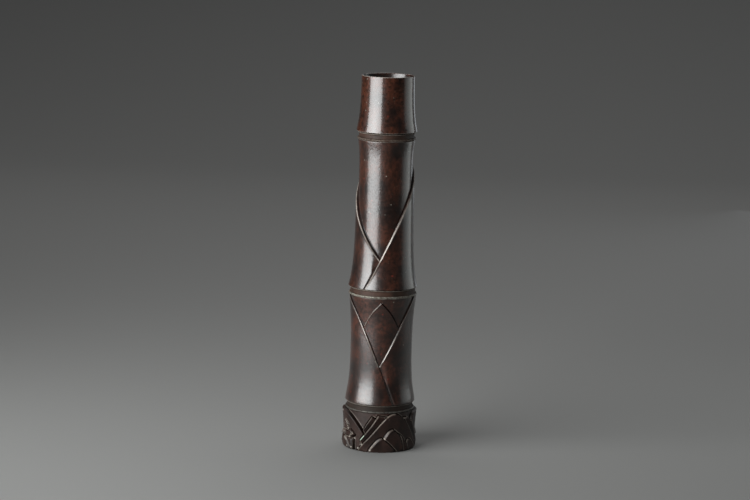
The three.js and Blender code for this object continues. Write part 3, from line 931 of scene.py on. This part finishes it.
def make_leaf_tip(sheath, finish):
    """The pointed tip of an inner sheath, its left edge bare and its right edge by the outer sheath."""
    culm = sheath["culm"]
    apex = length_of(culm["node"]) - LEAF_DROP
    foot = opening_height(sheath, LEAF_FOOT_OPENING)
    heights = (foot + (apex - TIP_TRIM - foot) * gathered(LEAF_ROWS, LEAF_EVEN_ROWS))[:, None]
    drawn_in = 1.0 - LEAF_OGEE * np.exp(-(apex - heights) / LEAF_OGEE_REACH)
    half = LEAF_HALF_ANGLE * ((apex - heights) / LEAF_SHOULDER) ** LEAF_POWER * drawn_in
    over = edge_angle(sheath, sheath["over"], heights) + LEAF_CLEAR
    under = edge_angle(sheath, sheath["under"], heights)
    left = np.maximum(LEAF_ANGLE - half, over)
    right = np.minimum(LEAF_ANGLE + half, under - LEAF_CLEAR)
    bare = smoothstep(LEAF_ANGLE - half - over, 0.0, LEAF_BARE_RUN)

    body = culm_radius(culm, heights) + SHEATH_BED
    arc = degree_length(body)
    angle = left + (right - left) * gathered(LEAF_COLUMNS, LEAF_EVEN_COLUMNS)[None, :]
    from_left = (angle - left) * arc
    bevel = edge_bevel(from_left, LEAF_THICKNESS, LEAF_BEVEL)
    surface = body + LEAF_THICKNESS - edge_fall(from_left) + (edge_rim(from_left) - bevel) * bare
    outer = polar(angle, surface, heights)
    inner = polar(angle[:, ::-1], body, heights)
    free = smoothstep((under - right) * arc, CREASE_WIDTH, 2.0 * CREASE_WIDTH)
    crease = edge_crease(right, 1.0, arc, body, body, free, heights)
    worn = bell(from_left - EDGE_TOP, EDGE_WEAR) * bare * LEAF_WEAR
    # The crease by the leaf's right edge has a hollow mask of 1, which paints it black as shade
    strips = [(outer, worn, 0.0), (crease, 0.0, 1.0), (inner, 0.0, 0.0)]
    piece = wrapped_piece("lower_leaf_tip_blade", strips, base_of(culm["node"]), finish)
    place_piece(piece, "lower_leaf_tip")


# Foot

def foot_line(points, bends=0):
    """A line of angle and height as points on the unrolled drum, its corners cut back a few times."""
    line = np.array(points, dtype=float)
    line[:, 0] = np.radians(line[:, 0]) * FOOT_RADIUS
    line[:, 1] = line[:, 1] * RELIEF_RISE
    for _ in range(bends):
        near = 0.75 * line[:-1] + 0.25 * line[1:]
        far = 0.25 * line[:-1] + 0.75 * line[1:]
        cut = np.stack([near, far], axis=1).reshape(-1, 2)
        line = np.concatenate([line[:1], cut, line[-1:]])
    return line


def distance_to(line, across, height):
    """How far each point of the unrolled drum lies from a line."""
    nearest = np.full(np.broadcast(across, height).shape, np.inf)
    for (x0, z0), (x1, z1) in zip(line[:-1], line[1:]):
        run, rise = x1 - x0, z1 - z0
        share = ((across - x0) * run + (height - z0) * rise) / (run * run + rise * rise)
        share = np.clip(share, 0.0, 1.0)
        nearest = np.minimum(nearest, np.hypot(across - x0 - share * run, height - z0 - share * rise))
    return nearest


def is_inside(outline, across, height):
    """Which points of the unrolled drum lie within a closed outline."""
    inside = np.zeros(np.broadcast(across, height).shape, dtype=bool)
    for (x0, z0), (x1, z1) in zip(outline, np.roll(outline, -1, axis=0)):
        if z0 != z1:
            crossing = x0 + (x1 - x0) * (height - z0) / (z1 - z0)
            inside ^= ((z0 > height) != (z1 > height)) & (across < crossing)
    return inside


def carve_form(relief, form, across, height):
    """Lays one hill, rib or stone over the relief, and marks its crest and the groove at its foot; it paints
    shade on its cuts that face right and on a face that is set dark, and keeps most of the crest's pale off
    the sides that face right, as painted light.
    """
    crest_line = foot_line(form["crest"], form.get("bends", 0))
    outline = np.concatenate([crest_line, foot_line(form["close"])])
    closed = np.concatenate([outline, outline[:1]])
    inset = distance_to(closed, across, height) * np.where(is_inside(outline, across, height), 1.0, -1.0)
    below = distance_to(crest_line, across, height)
    fall = form.get("fall", CREST_FALL)
    face = RELIEF_DEPTH - fall * (1.0 - np.exp(-below / CREST_FADE)) - FACE_LEAN * below
    if "pillow" in form:
        inward = np.clip(inset / form["pillow"], 0.0, 1.0)
        face = RELIEF_DEPTH - PILLOW_FALL * (1.0 - np.sqrt(1.0 - (1.0 - inward) ** 2))

    column = 2.0 * math.pi * FOOT_RADIUS / FOOT_COLUMNS
    faces_right = smoothstep(-np.gradient(inset, axis=1) / column, *RIGHT_FACING)
    wall = form["bevel"] + (form.get("steep", STEEP_WALL) - form["bevel"]) * faces_right
    cover = smoothstep(inset, -wall, CREST_INSET)
    bared = 1.0 - smoothstep(inset, -wall, 0.0)
    chased = bell(inset + wall, CHASE_WIDTH) * (1.0 - cover)
    burr_share = BURR_LEFT_SHARE + (1.0 - BURR_LEFT_SHARE) * faces_right
    burr = bell(inset + wall + BURR_AWAY, BURR_WIDTH) * (1.0 - cover) * burr_share
    chasing = BURR_HEIGHT * burr - CHASE_DEPTH * chased
    relief["stand"] = relief["stand"] * (1.0 - cover) + face * cover + chasing

    band = form.get("band", CREST_WEAR)
    # Painted light: the crest's rubbed pale is mostly kept off the sides that face right, so the sides that
    # face left are lighter
    crest = bell(inset + wall / 2.0, band) * (1.0 - CREST_SHADE * faces_right)
    relief["edge"] = relief["edge"] * bared + form.get("worn", 1.0) * crest + burr
    # Cuts that face right are painted dark as shade
    shaded = smoothstep(inset + wall, *WALL_SHADE_RUN) * (1.0 - smoothstep(inset, *WALL_CLEAR_RUN))
    # A form that is set dark has its face painted dark as shade
    darkened = form.get("dark", 0.0) * smoothstep(inset, 0.0, DARK_FACE_RUN)
    relief["hollow"] = np.maximum.reduce([
        relief["hollow"] * bared, chased, WALL_SHADE * shaded * faces_right, darkened,
    ])


def mark_relief(relief, across, height):
    """Cuts the cracks into the carved relief and darkens them with shade and soot, and marks its green and
    its worn spots, which also stand in for glints and highlights painted on the stones.
    """
    for crack in CRACKS:
        away = distance_to(foot_line(crack["line"]), across, height)
        cut = bell(away, crack["width"])
        rim = bell(away - CRACK_RIM_AWAY * crack["width"], CRACK_RIM)
        relief["stand"] = np.maximum(relief["stand"] - crack["depth"] * cut, CRACK_FLOOR)
        relief["edge"] = np.maximum(relief["edge"] * (1.0 - cut), CRACK_RIM_WEAR * rim)
        # Cracks are darkened as shade and soot through the hollow mask
        relief["hollow"] = np.maximum(relief["hollow"] * (1.0 - rim), cut)
    for spot_across, spot_height in foot_line(WORN_AND_GLINT_SPOTS):
        spot = bell(np.hypot(across - spot_across, height - spot_height), SPOT_WIDTH)
        relief["stand"] = relief["stand"] + SPOT_HEIGHT * spot
        relief["bare"] = np.maximum(relief["bare"], spot)
    for mask, marks in (("green", GREEN_LINES), ("bare", WORN_AND_HIGHLIGHT_LINES)):
        for mark in marks:
            away = distance_to(foot_line(mark["line"]), across, height)
            relief[mask] = np.maximum(relief[mask], mark["share"] * bell(away, mark["width"]))


def foot_relief(angle, height):
    """The relief above the drum, with masks of its crests (pale, partly as painted light), of the shade and
    soot painted in its hollows and on its cuts that face right, and of its green and its worn spots and
    painted glints.
    """
    shape = np.broadcast(angle, height).shape
    relief = {name: np.zeros(shape) for name in ("stand", *FOOT_MASKS)}
    turned = [(angle - turn - RELIEF_START) % 360.0 + RELIEF_START for turn in RELIEF_TURNS]
    rounds = [np.radians(turn) * FOOT_RADIUS for turn in turned]
    for form in CARVED_FORMS:
        for across in rounds:
            carve_form(relief, form, across, height)
    for across in rounds:
        mark_relief(relief, across, height)
    relief["hollow"] = relief["hollow"] * (1.0 - relief["bare"])
    for mask in ("edge", "hollow"):
        relief[mask] = np.clip(relief[mask], 0.0, 1.0)
    return relief


def make_foot(finish):
    """The drum with its carved relief, trimmed round below, and the seat of the base plate inside it."""
    height = length_of("foot_drum")
    angle = np.linspace(0.0, 360.0, FOOT_COLUMNS, endpoint=False)[None, :]
    level = np.linspace(0.0, height, FOOT_ROWS)[:, None]
    relief = foot_relief(angle, level)
    resting = PLATE_SEAT + RESTING_WIDTH
    swell = FOOT_RADIUS + RELIEF_DEPTH + TRIM_MARGIN - resting
    lift = np.clip(1.0 - level / FOOT_ROUND, 0.0, 1.0)
    trim = resting + swell * np.sqrt(1.0 - lift ** 2)
    outer = polar(angle, np.minimum(FOOT_RADIUS + relief["stand"], trim), level)
    ledge = PLATE_RECESS + PLATE_THICKNESS
    section = [(FOOT_BORE, height), (FOOT_BORE, ledge), (PLATE_SEAT, ledge), (PLATE_SEAT, 0.0)]
    rings = [polar(angle, np.full_like(angle, ring), np.full_like(angle, rise)) for ring, rise in section]
    loop = np.concatenate([outer, *rings], axis=0)
    faces = ring_faces(len(loop), FOOT_COLUMNS, wrap_rows=True)
    plain = np.zeros((len(section), FOOT_COLUMNS))
    masks = {name: np.concatenate([relief[name], plain]).ravel() for name in FOOT_MASKS}
    piece = mesh_object("foot_drum_carved", loop.reshape(-1, 3), faces, masks, finish, FOOT_SHARP)
    place_piece(piece, "foot_drum")


# Finishes

def tint(red, green, blue):
    return (red, green, blue, 1.0)


# Tones of the finishes: black for the shade painted in creases, under flares and in the foot's corners, where
# it also stands for soot; the browns and reds of the patina, and what is rubbed or deposited, whose pale
# tones are partly painted highlights and glints
SHADE_BLACK = tint(0.003, 0.0022, 0.002)
BLACK_BROWN = tint(0.0065, 0.0025, 0.0015)
WARM_BROWN = tint(0.027, 0.0094, 0.0042)
RED_BROWN = tint(0.085, 0.021, 0.009)
OXIDE_RED = tint(0.15, 0.020, 0.013)
WAX_GREY = tint(0.010, 0.006, 0.005)
BORE_BROWN = tint(0.015, 0.011, 0.009)
RUBBED_BRONZE_AND_HIGHLIGHT = tint(0.29, 0.252, 0.222)
PIT_BROWN = tint(0.12, 0.10, 0.08)
PALE_SPECK = tint(0.22, 0.215, 0.18)
COLLAR_DEPOSIT = tint(0.09, 0.10, 0.08)
COLLAR_LIP_HIGHLIGHT = tint(0.13, 0.112, 0.096)
FOOT_SOOT_AND_SHADE = tint(0.003, 0.0023, 0.002)
FOOT_DARK = tint(0.0090, 0.0050, 0.0039)
FOOT_BROWN = tint(0.026, 0.0122, 0.0090)
FOOT_RUBBED_AND_LIT = tint(0.20, 0.168, 0.14)
FOOT_GREEN = tint(0.30, 0.40, 0.32)
FOOT_PIT = tint(0.16, 0.14, 0.12)
FOOT_BARE_AND_GLINT = tint(0.34, 0.31, 0.275)
PLATE_DARK = tint(0.035, 0.022, 0.015)
PLATE_BROWN = tint(0.085, 0.052, 0.032)
PLATE_PIT = tint(0.12, 0.14, 0.10)

# Patinas: how rough the metal (satin) and its wax (polish) are, how brown, red, wavy and speckled each is,
# and where its mottling starts
PATINAS = dict(
    mouth=dict(satin=0.26, polish=0.11, brown=0.95, redness=0.85, waviness=0.9, speckle=0.35, offset=0.0),
    culm=dict(satin=0.34, polish=0.18, brown=0.9, redness=0.65, waviness=2.4, speckle=0.15, offset=0.2),
    sheath=dict(satin=0.33, polish=0.19, brown=0.5, redness=0.6, waviness=1.5, speckle=0.1, offset=0.43),
    lower=dict(satin=0.31, polish=0.19, brown=0.42, redness=0.6, waviness=1.2, speckle=0.1, offset=0.61),
)

# Collar finishes from the top node down: the dark and the pale of their brown, and the tone of their bead
COLLAR_BROWNS = dict(deep=tint(0.016, 0.0074, 0.0050), pale=tint(0.044, 0.0185, 0.0120))
FOOT_BROWNS = dict(deep=tint(0.008, 0.0043, 0.0034), pale=tint(0.022, 0.0105, 0.0075))
COLLAR_FINISHES = dict(
    worn_collar=dict(**COLLAR_BROWNS, bead_share=0.64, bead_tint=tint(0.13, 0.110, 0.090)),
    soldered_collar=dict(**COLLAR_BROWNS, bead_share=0.66, bead_tint=tint(0.24, 0.235, 0.20)),
    foot_collar=dict(**FOOT_BROWNS, bead_share=0.72, bead_tint=tint(0.10, 0.096, 0.085)),
)


def object_place(tree):
    return add_node(tree, "ShaderNodeTexCoord").outputs["Object"]


def make_cloud_group():
    """Mottling of a patina: broad clouds, smaller flecks and the grain of the rubbed wax."""
    noises = {"Cloud": (60.0, 6.0), "Fleck": (380.0, 4.0), "Grain": (1300.0, 2.0)}
    tree, value = new_group("patina_clouds", "ShaderNodeTree", {"Scale": 1.0, "Offset": 0.0}, noises)
    shift = add_node(tree, "ShaderNodeCombineXYZ", {axis: value["Offset"] for axis in "XYZ"})
    moved = add_node(tree, "ShaderNodeVectorMath", {0: object_place(tree), 1: shift.outputs[0]})
    mottling = {}
    for name, (scale, detail) in noises.items():
        noise = noise_field(tree, moved.outputs[0], value["Scale"] * scale, detail, roughness=0.6)
        mottling[name] = noise.ramp(0.32, 0.68)
    close_group(tree, mottling)
    return tree


def make_pit_group():
    """Tiny casting pits: a mask of their mouths and a height that sinks into them."""
    inputs = {"Scale": 300.0, "Size": 0.18, "Share": 0.5}
    tree, value = new_group("casting_pits", "ShaderNodeTree", inputs, ["Mask", "Height"])
    cells = add_node(tree, "ShaderNodeTexVoronoi", {"Vector": object_place(tree), "Scale": value["Scale"]})
    chosen = add_node(tree, "ShaderNodeSeparateColor", {0: cells.outputs["Color"]})
    picked = Field(tree, chosen.outputs[0]).math("LESS_THAN", value["Share"])
    mouth = 1.0 - Field(tree, cells.outputs["Distance"]).ramp(value["Size"] * 0.4, value["Size"])
    mask = mouth * picked
    close_group(tree, {"Mask": mask, "Height": 1.0 - mask})
    return tree


def make_rub_group():
    """Edges rubbed back to paler metal, broken up where hands and cloth did not reach."""
    inputs = {"Edge": 0.0, "Amount": 0.7, "Breakup Scale": 260.0}
    tree, value = new_group("rubbed_edges", "ShaderNodeTree", inputs, ["Mask"])
    noise = noise_field(tree, object_place(tree), value["Breakup Scale"], detail=4.0, roughness=0.65)
    broken = value["Edge"] + (noise - 0.5) * 0.9
    close_group(tree, {"Mask": broken.ramp(0.35, 0.95) * value["Amount"]})
    return tree


def make_deposit_group():
    """Pale deposit that settles in hollows and seams, with broken edges."""
    inputs = {"Hollow": 0.0, "Amount": 0.5, "Patch Scale": 120.0}
    tree, value = new_group("hollow_deposit", "ShaderNodeTree", inputs, ["Mask"])
    noise = noise_field(tree, object_place(tree), value["Patch Scale"] * 4.0, detail=5.0, roughness=0.7)
    settled = (value["Hollow"] * 0.9 + (noise - 0.5) * 0.8).ramp(0.35, 0.8)
    close_group(tree, {"Mask": settled * value["Amount"]})
    return tree


CLOUDS = make_cloud_group()
PITS = make_pit_group()
RUBBED = make_rub_group()
DEPOSIT = make_deposit_group()


class Finish:
    """A material under construction: its tree, its shader and the small steps that finishes share."""

    def __init__(self, name, refraction):
        self.material = bpy.data.materials.new(name)
        self.material.use_nodes = True
        self.tree = self.material.node_tree
        self.shader = self.tree.nodes["Principled BSDF"]
        self.shader.inputs["IOR"].default_value = refraction

    def group(self, group, **values):
        """An effect's outputs by name, with its inputs set."""
        node = add_node(self.tree, "ShaderNodeGroup", node_tree=group)
        for name, value in values.items():
            plug(self.tree, value, node.inputs[name.replace("_", " ")])
        return {socket.name: Field(self.tree, socket) for socket in node.outputs}

    def attribute(self, name):
        """A mask that is stored on the mesh."""
        node = add_node(self.tree, "ShaderNodeAttribute", attribute_name=name)
        return Field(self.tree, node.outputs["Fac"])

    def layers(self, colour, *coats):
        """A colour with others laid over it in turn, each by its mask."""
        for mask, coat in coats:
            mixed = add_node(self.tree, "ShaderNodeMix", {0: mask, 6: colour, 7: coat}, data_type="RGBA")
            colour = mixed.outputs[2]
        return colour

    def wax(self, weight, roughness):
        """A clear coat of rubbed wax over the patina."""
        plug(self.tree, weight, self.shader.inputs["Coat Weight"])
        plug(self.tree, roughness, self.shader.inputs["Coat Roughness"])

    def dull(self, shaded_share):
        """Takes the shine out of corners where shade is painted, with soot on the foot."""
        plug(self.tree, shaded_share * -0.48 + 0.5, self.shader.inputs["Specular IOR Level"])

    def wear(self, colour, roughness, metallic, height, distance, strength):
        """Plugs the finished fields into the shader, and the same bump under and over the wax."""
        plug(self.tree, colour, self.shader.inputs["Base Color"])
        plug(self.tree, roughness, self.shader.inputs["Roughness"])
        plug(self.tree, metallic, self.shader.inputs["Metallic"])
        bump = add_node(self.tree, "ShaderNodeBump", {
            "Height": height, "Distance": distance * MM, "Strength": strength,
        })
        for normal in ("Normal", "Coat Normal"):
            plug(self.tree, bump.outputs[0], self.shader.inputs[normal])
        return self.material


def make_patina(name, satin, polish, brown, redness, waviness, speckle, offset):
    """Glossy mottled patina of the culm and its sheaths, rubbed along the edges to a pale that is partly a
    painted highlight, painted black as shade in its creases, and pitted here and there.
    """
    finish = Finish(name, refraction=1.38)
    cloud, fleck, grain = finish.group(CLOUDS, Scale=1.0, Offset=offset).values()
    pits = finish.group(PITS, Scale=560.0, Size=0.22, Share=0.2)
    specks = finish.group(PITS, Scale=230.0, Size=0.15, Share=speckle)
    red_spots = finish.group(PITS, Scale=170.0, Size=0.18, Share=0.3)
    rubbed = finish.group(RUBBED, Edge=finish.attribute("edge"), Amount=0.75)["Mask"]
    hollow = finish.attribute("hollow")
    inside = finish.attribute("inside")
    colour = finish.layers(
        BLACK_BROWN, (cloud * brown, WARM_BROWN), (fleck * cloud * redness, RED_BROWN),
        (grain * 0.25, WAX_GREY), (red_spots["Mask"] * fleck * 0.8, OXIDE_RED), (rubbed, RUBBED_BRONZE_AND_HIGHLIGHT),
        (pits["Mask"] * 0.3, PIT_BROWN), (specks["Mask"] * 0.7, PALE_SPECK), (inside * 0.7, BORE_BROWN),
        (hollow * 0.9, SHADE_BLACK),
    )
    # The hollow mask paints the creases black as shade, takes their wax off and dulls them
    finish.dull(hollow)
    covered = (1.0 - hollow * 0.97) * (1.0 - rubbed * 0.6)
    finish.wax((0.95 - pits["Mask"] * 0.6 - grain * 0.12) * covered, inside * 0.14 + polish)
    roughness = fleck * 0.10 + satin + pits["Mask"] * 0.2 + hollow * 0.35 + rubbed * 0.16
    height = grain * 0.25 + fleck * waviness + pits["Height"] * 1.5
    return finish.wear(colour, roughness, rubbed * 0.45, height, distance=0.025, strength=0.55)


def make_collar_finish(name, deep, pale, bead_share, bead_tint):
    """Dull brown patina of a node, its bead worn or soldered to a paler tone and deposit in its groove."""
    finish = Finish(name, refraction=1.27)
    cloud, fleck, grain = finish.group(CLOUDS, Scale=1.6, Offset=0.31).values()
    stand = finish.attribute("edge")
    bead = stand * (fleck * 0.4 + 0.8) * bead_share
    rubbed = finish.group(RUBBED, Edge=bead, Amount=0.9, Breakup_Scale=420.0)["Mask"]
    deposit = finish.group(DEPOSIT, Hollow=1.0 - stand, Amount=0.06, Patch_Scale=160.0)["Mask"]
    # The pale lip line is a painted highlight
    lip = finish.attribute("lip") * (fleck * 0.4 + 0.6)
    hollow = finish.attribute("hollow")
    colour = finish.layers(
        deep, (cloud, pale), (rubbed, bead_tint), (deposit, COLLAR_DEPOSIT), (lip, COLLAR_LIP_HIGHLIGHT),
        (hollow * 0.9, SHADE_BLACK),
    )
    # The hollow mask paints the neck under the flare dark as its shadow, and dulls it
    finish.dull(hollow)
    roughness = fleck * 0.12 + 0.46 - rubbed * 0.14
    height = grain * 0.3 + fleck * 0.8
    return finish.wear(colour, roughness, rubbed * 0.5, height, distance=0.05, strength=0.7)


def make_foot_finish():
    """Dark, half-matte patina of the carved foot, paler on its crests and on the sides that face left as
    painted light, darkened with painted shade and soot in its hollows and on its cuts that face right, with
    painted glints, and green in a few hollows.
    """
    finish = Finish("foot_patina", refraction=1.36)
    cloud, fleck, grain = finish.group(CLOUDS, Scale=1.3, Offset=0.77).values()
    pits = finish.group(PITS, Scale=380.0, Size=0.22, Share=0.05)
    rubbed = finish.group(RUBBED, Edge=finish.attribute("edge"), Amount=0.8, Breakup_Scale=300.0)["Mask"]
    deposit = finish.group(DEPOSIT, Hollow=finish.attribute("green"), Amount=0.9, Patch_Scale=90.0)["Mask"]
    hollow = finish.attribute("hollow")
    colour = finish.layers(
        FOOT_DARK, (cloud, FOOT_BROWN), (rubbed * 0.9, FOOT_RUBBED_AND_LIT), (deposit, FOOT_GREEN),
        (pits["Mask"] * 0.5, FOOT_PIT), (hollow * 0.9, FOOT_SOOT_AND_SHADE), (finish.attribute("bare"), FOOT_BARE_AND_GLINT),
    )
    # The hollow mask paints shade and soot into the foot's grooves, cracks and cuts that face right, and
    # dulls them
    finish.dull(hollow)
    roughness = fleck * 0.16 + 0.36 + deposit * 0.3 - rubbed * 0.06
    height = grain * 0.5 + fleck + pits["Height"] * 1.2
    return finish.wear(colour, roughness, rubbed * 0.35, height, distance=0.05, strength=0.7)


def make_plate_finish():
    """Dull brown sheet bronze of the underside."""
    finish = Finish("plate_patina", refraction=1.7)
    cloud, fleck, grain = finish.group(CLOUDS, Scale=0.9, Offset=0.12).values()
    pits = finish.group(PITS, Scale=300.0, Size=0.25, Share=0.2)
    colour = finish.layers(PLATE_DARK, (cloud, PLATE_BROWN), (pits["Mask"] * 0.6, PLATE_PIT))
    roughness = fleck * 0.2 + 0.45
    height = grain * 0.6 + fleck * 1.2 + pits["Height"]
    return finish.wear(colour, roughness, cloud * 0.3, height, distance=0.06, strength=0.8)


# Studio

# A pale paper sweep and the softboxes round it, in metres; azimuths count from the front, and a panel that is
# swung faces past the vase
PAPER = dict(half_width=4.0, front=-4.0, back=1.7, bend=1.2, rise=3.0, steps=25)
PANEL_AIM = (0.0, 0.0, 0.15)
PANELS = (
    dict(name="left_panel", azimuth=-53.0, distance=0.75, height=0.31, width=0.83, tall=0.62,
         brightness=3.8, colour=(0.98, 1.0, 1.0), spread=105.0),
    dict(name="right_panel", azimuth=94.0, distance=0.85, height=0.20, width=0.90, tall=0.46,
         brightness=0.50, colour=(0.95, 1.0, 0.98), spread=110.0, swing=30.0),
    dict(name="right_rim", azimuth=153.0, distance=1.45, height=0.30, width=0.40, tall=0.60,
         brightness=0.30, colour=(0.88, 0.94, 1.0), spread=120.0),
    dict(name="overhead", azimuth=180.0, distance=1.1, height=2.0, width=2.6, tall=1.8,
         brightness=1.75, colour=(1.0, 1.0, 1.0), spread=180.0),
)


def make_floor():
    """A pale paper sweep that lies flat under the vase and curves up behind it."""
    half_width, back, bend = PAPER["half_width"], PAPER["back"], PAPER["bend"]
    turns = np.linspace(0.0, math.pi / 2.0, PAPER["steps"])
    run = [(PAPER["front"], 0.0)]
    run += [(back + bend * math.sin(turn), bend * (1.0 - math.cos(turn))) for turn in turns]
    run.append((back + bend, PAPER["rise"]))
    vertices = []
    for y, z in run:
        vertices += [(-half_width, y, z), (half_width, y, z)]
    faces = [(2 * step, 2 * step + 1, 2 * step + 3, 2 * step + 2) for step in range(len(run) - 1)]
    mesh = bpy.data.meshes.new("paper_sweep")
    mesh.from_pydata(vertices, [], faces)
    mesh.polygons.foreach_set("use_smooth", [True] * len(mesh.polygons))
    paper = bpy.data.materials.new("pale_paper")
    paper.use_nodes = True
    shader = paper.node_tree.nodes["Principled BSDF"]
    shader.inputs["Base Color"].default_value = tint(0.205, 0.205, 0.200)
    shader.inputs["Roughness"].default_value = 0.9
    shader.inputs["Specular IOR Level"].default_value = 0.1
    mesh.materials.append(paper)
    floor = add_object("paper_sweep", mesh)


def add_softbox(panel):
    """A soft rectangular light that faces the vase's middle, or is swung away from it."""
    light = bpy.data.lights.new(panel["name"], "AREA")
    light.shape = "RECTANGLE"
    light.size = panel["width"]
    light.size_y = panel["tall"]
    light.energy = panel["brightness"] * math.pi * panel["width"] * panel["tall"]
    light.color = panel["colour"]
    light.spread = math.radians(panel["spread"])
    lamp = add_object(panel["name"], light)
    turn = math.radians(panel["azimuth"])
    away = panel["distance"]
    place = np.array([away * math.sin(turn), -away * math.cos(turn), panel["height"]])
    aim = np.array(PANEL_AIM) - place
    pitch = math.atan2(aim[2], math.hypot(aim[0], aim[1]))
    lamp.location = place.tolist()
    lamp.rotation_euler = (math.pi / 2.0 + pitch, 0.0, turn + math.radians(panel.get("swing", 0.0)))


def make_studio():
    """The softboxes and the faint light of the room."""
    for panel in PANELS:
        add_softbox(panel)
    world = bpy.data.worlds.new("studio_air")
    world.use_nodes = True
    air = world.node_tree.nodes["Background"]
    air.inputs["Color"].default_value = tint(0.9, 0.95, 1.0)
    air.inputs["Strength"].default_value = 0.06
    bpy.context.scene.world = world
    bpy.context.scene.view_settings.view_transform = "Standard"


def make_camera():
    """The camera of the photograph."""
    lens = bpy.data.cameras.new("photo_camera")
    lens.sensor_width = SENSOR_WIDTH
    lens.lens = CAMERA_LENS
    camera = add_object("photo_camera", lens)
    turn = Matrix.Rotation(math.radians(CAMERA_YAW), 4, "Z")
    tilt = Matrix.Rotation(math.radians(90.0 - CAMERA_PITCH), 4, "X")
    roll = Matrix.Rotation(math.radians(CAMERA_ROLL), 4, "Z")
    camera.matrix_world = Matrix.Translation(CAMERA_PLACE) @ turn @ tilt @ roll
    bpy.context.scene.camera = camera


# Assembly

def dress_vase():
    """Every piece of the vase in its finish, each in place of its CAD node."""
    patina = {name: make_patina(f"{name}_patina", **look) for name, look in PATINAS.items()}
    collar_finishes = [make_collar_finish(name, **look) for name, look in COLLAR_FINISHES.items()]
    make_internodes(make_internode_tree(), (patina["mouth"], patina["culm"], patina["lower"]))
    turned_tree = make_turned_tree()
    make_collars(turned_tree, collar_finishes)
    make_base_plate(turned_tree, make_plate_finish())
    make_sheath(MIDDLE_SHEATH, patina["sheath"])
    make_sheath(LOWER_SHEATH, patina["lower"])
    make_leaf_tip(LOWER_SHEATH, patina["lower"])
    make_foot(make_foot_finish())


dress_vase()
make_floor()
make_studio()
make_camera()
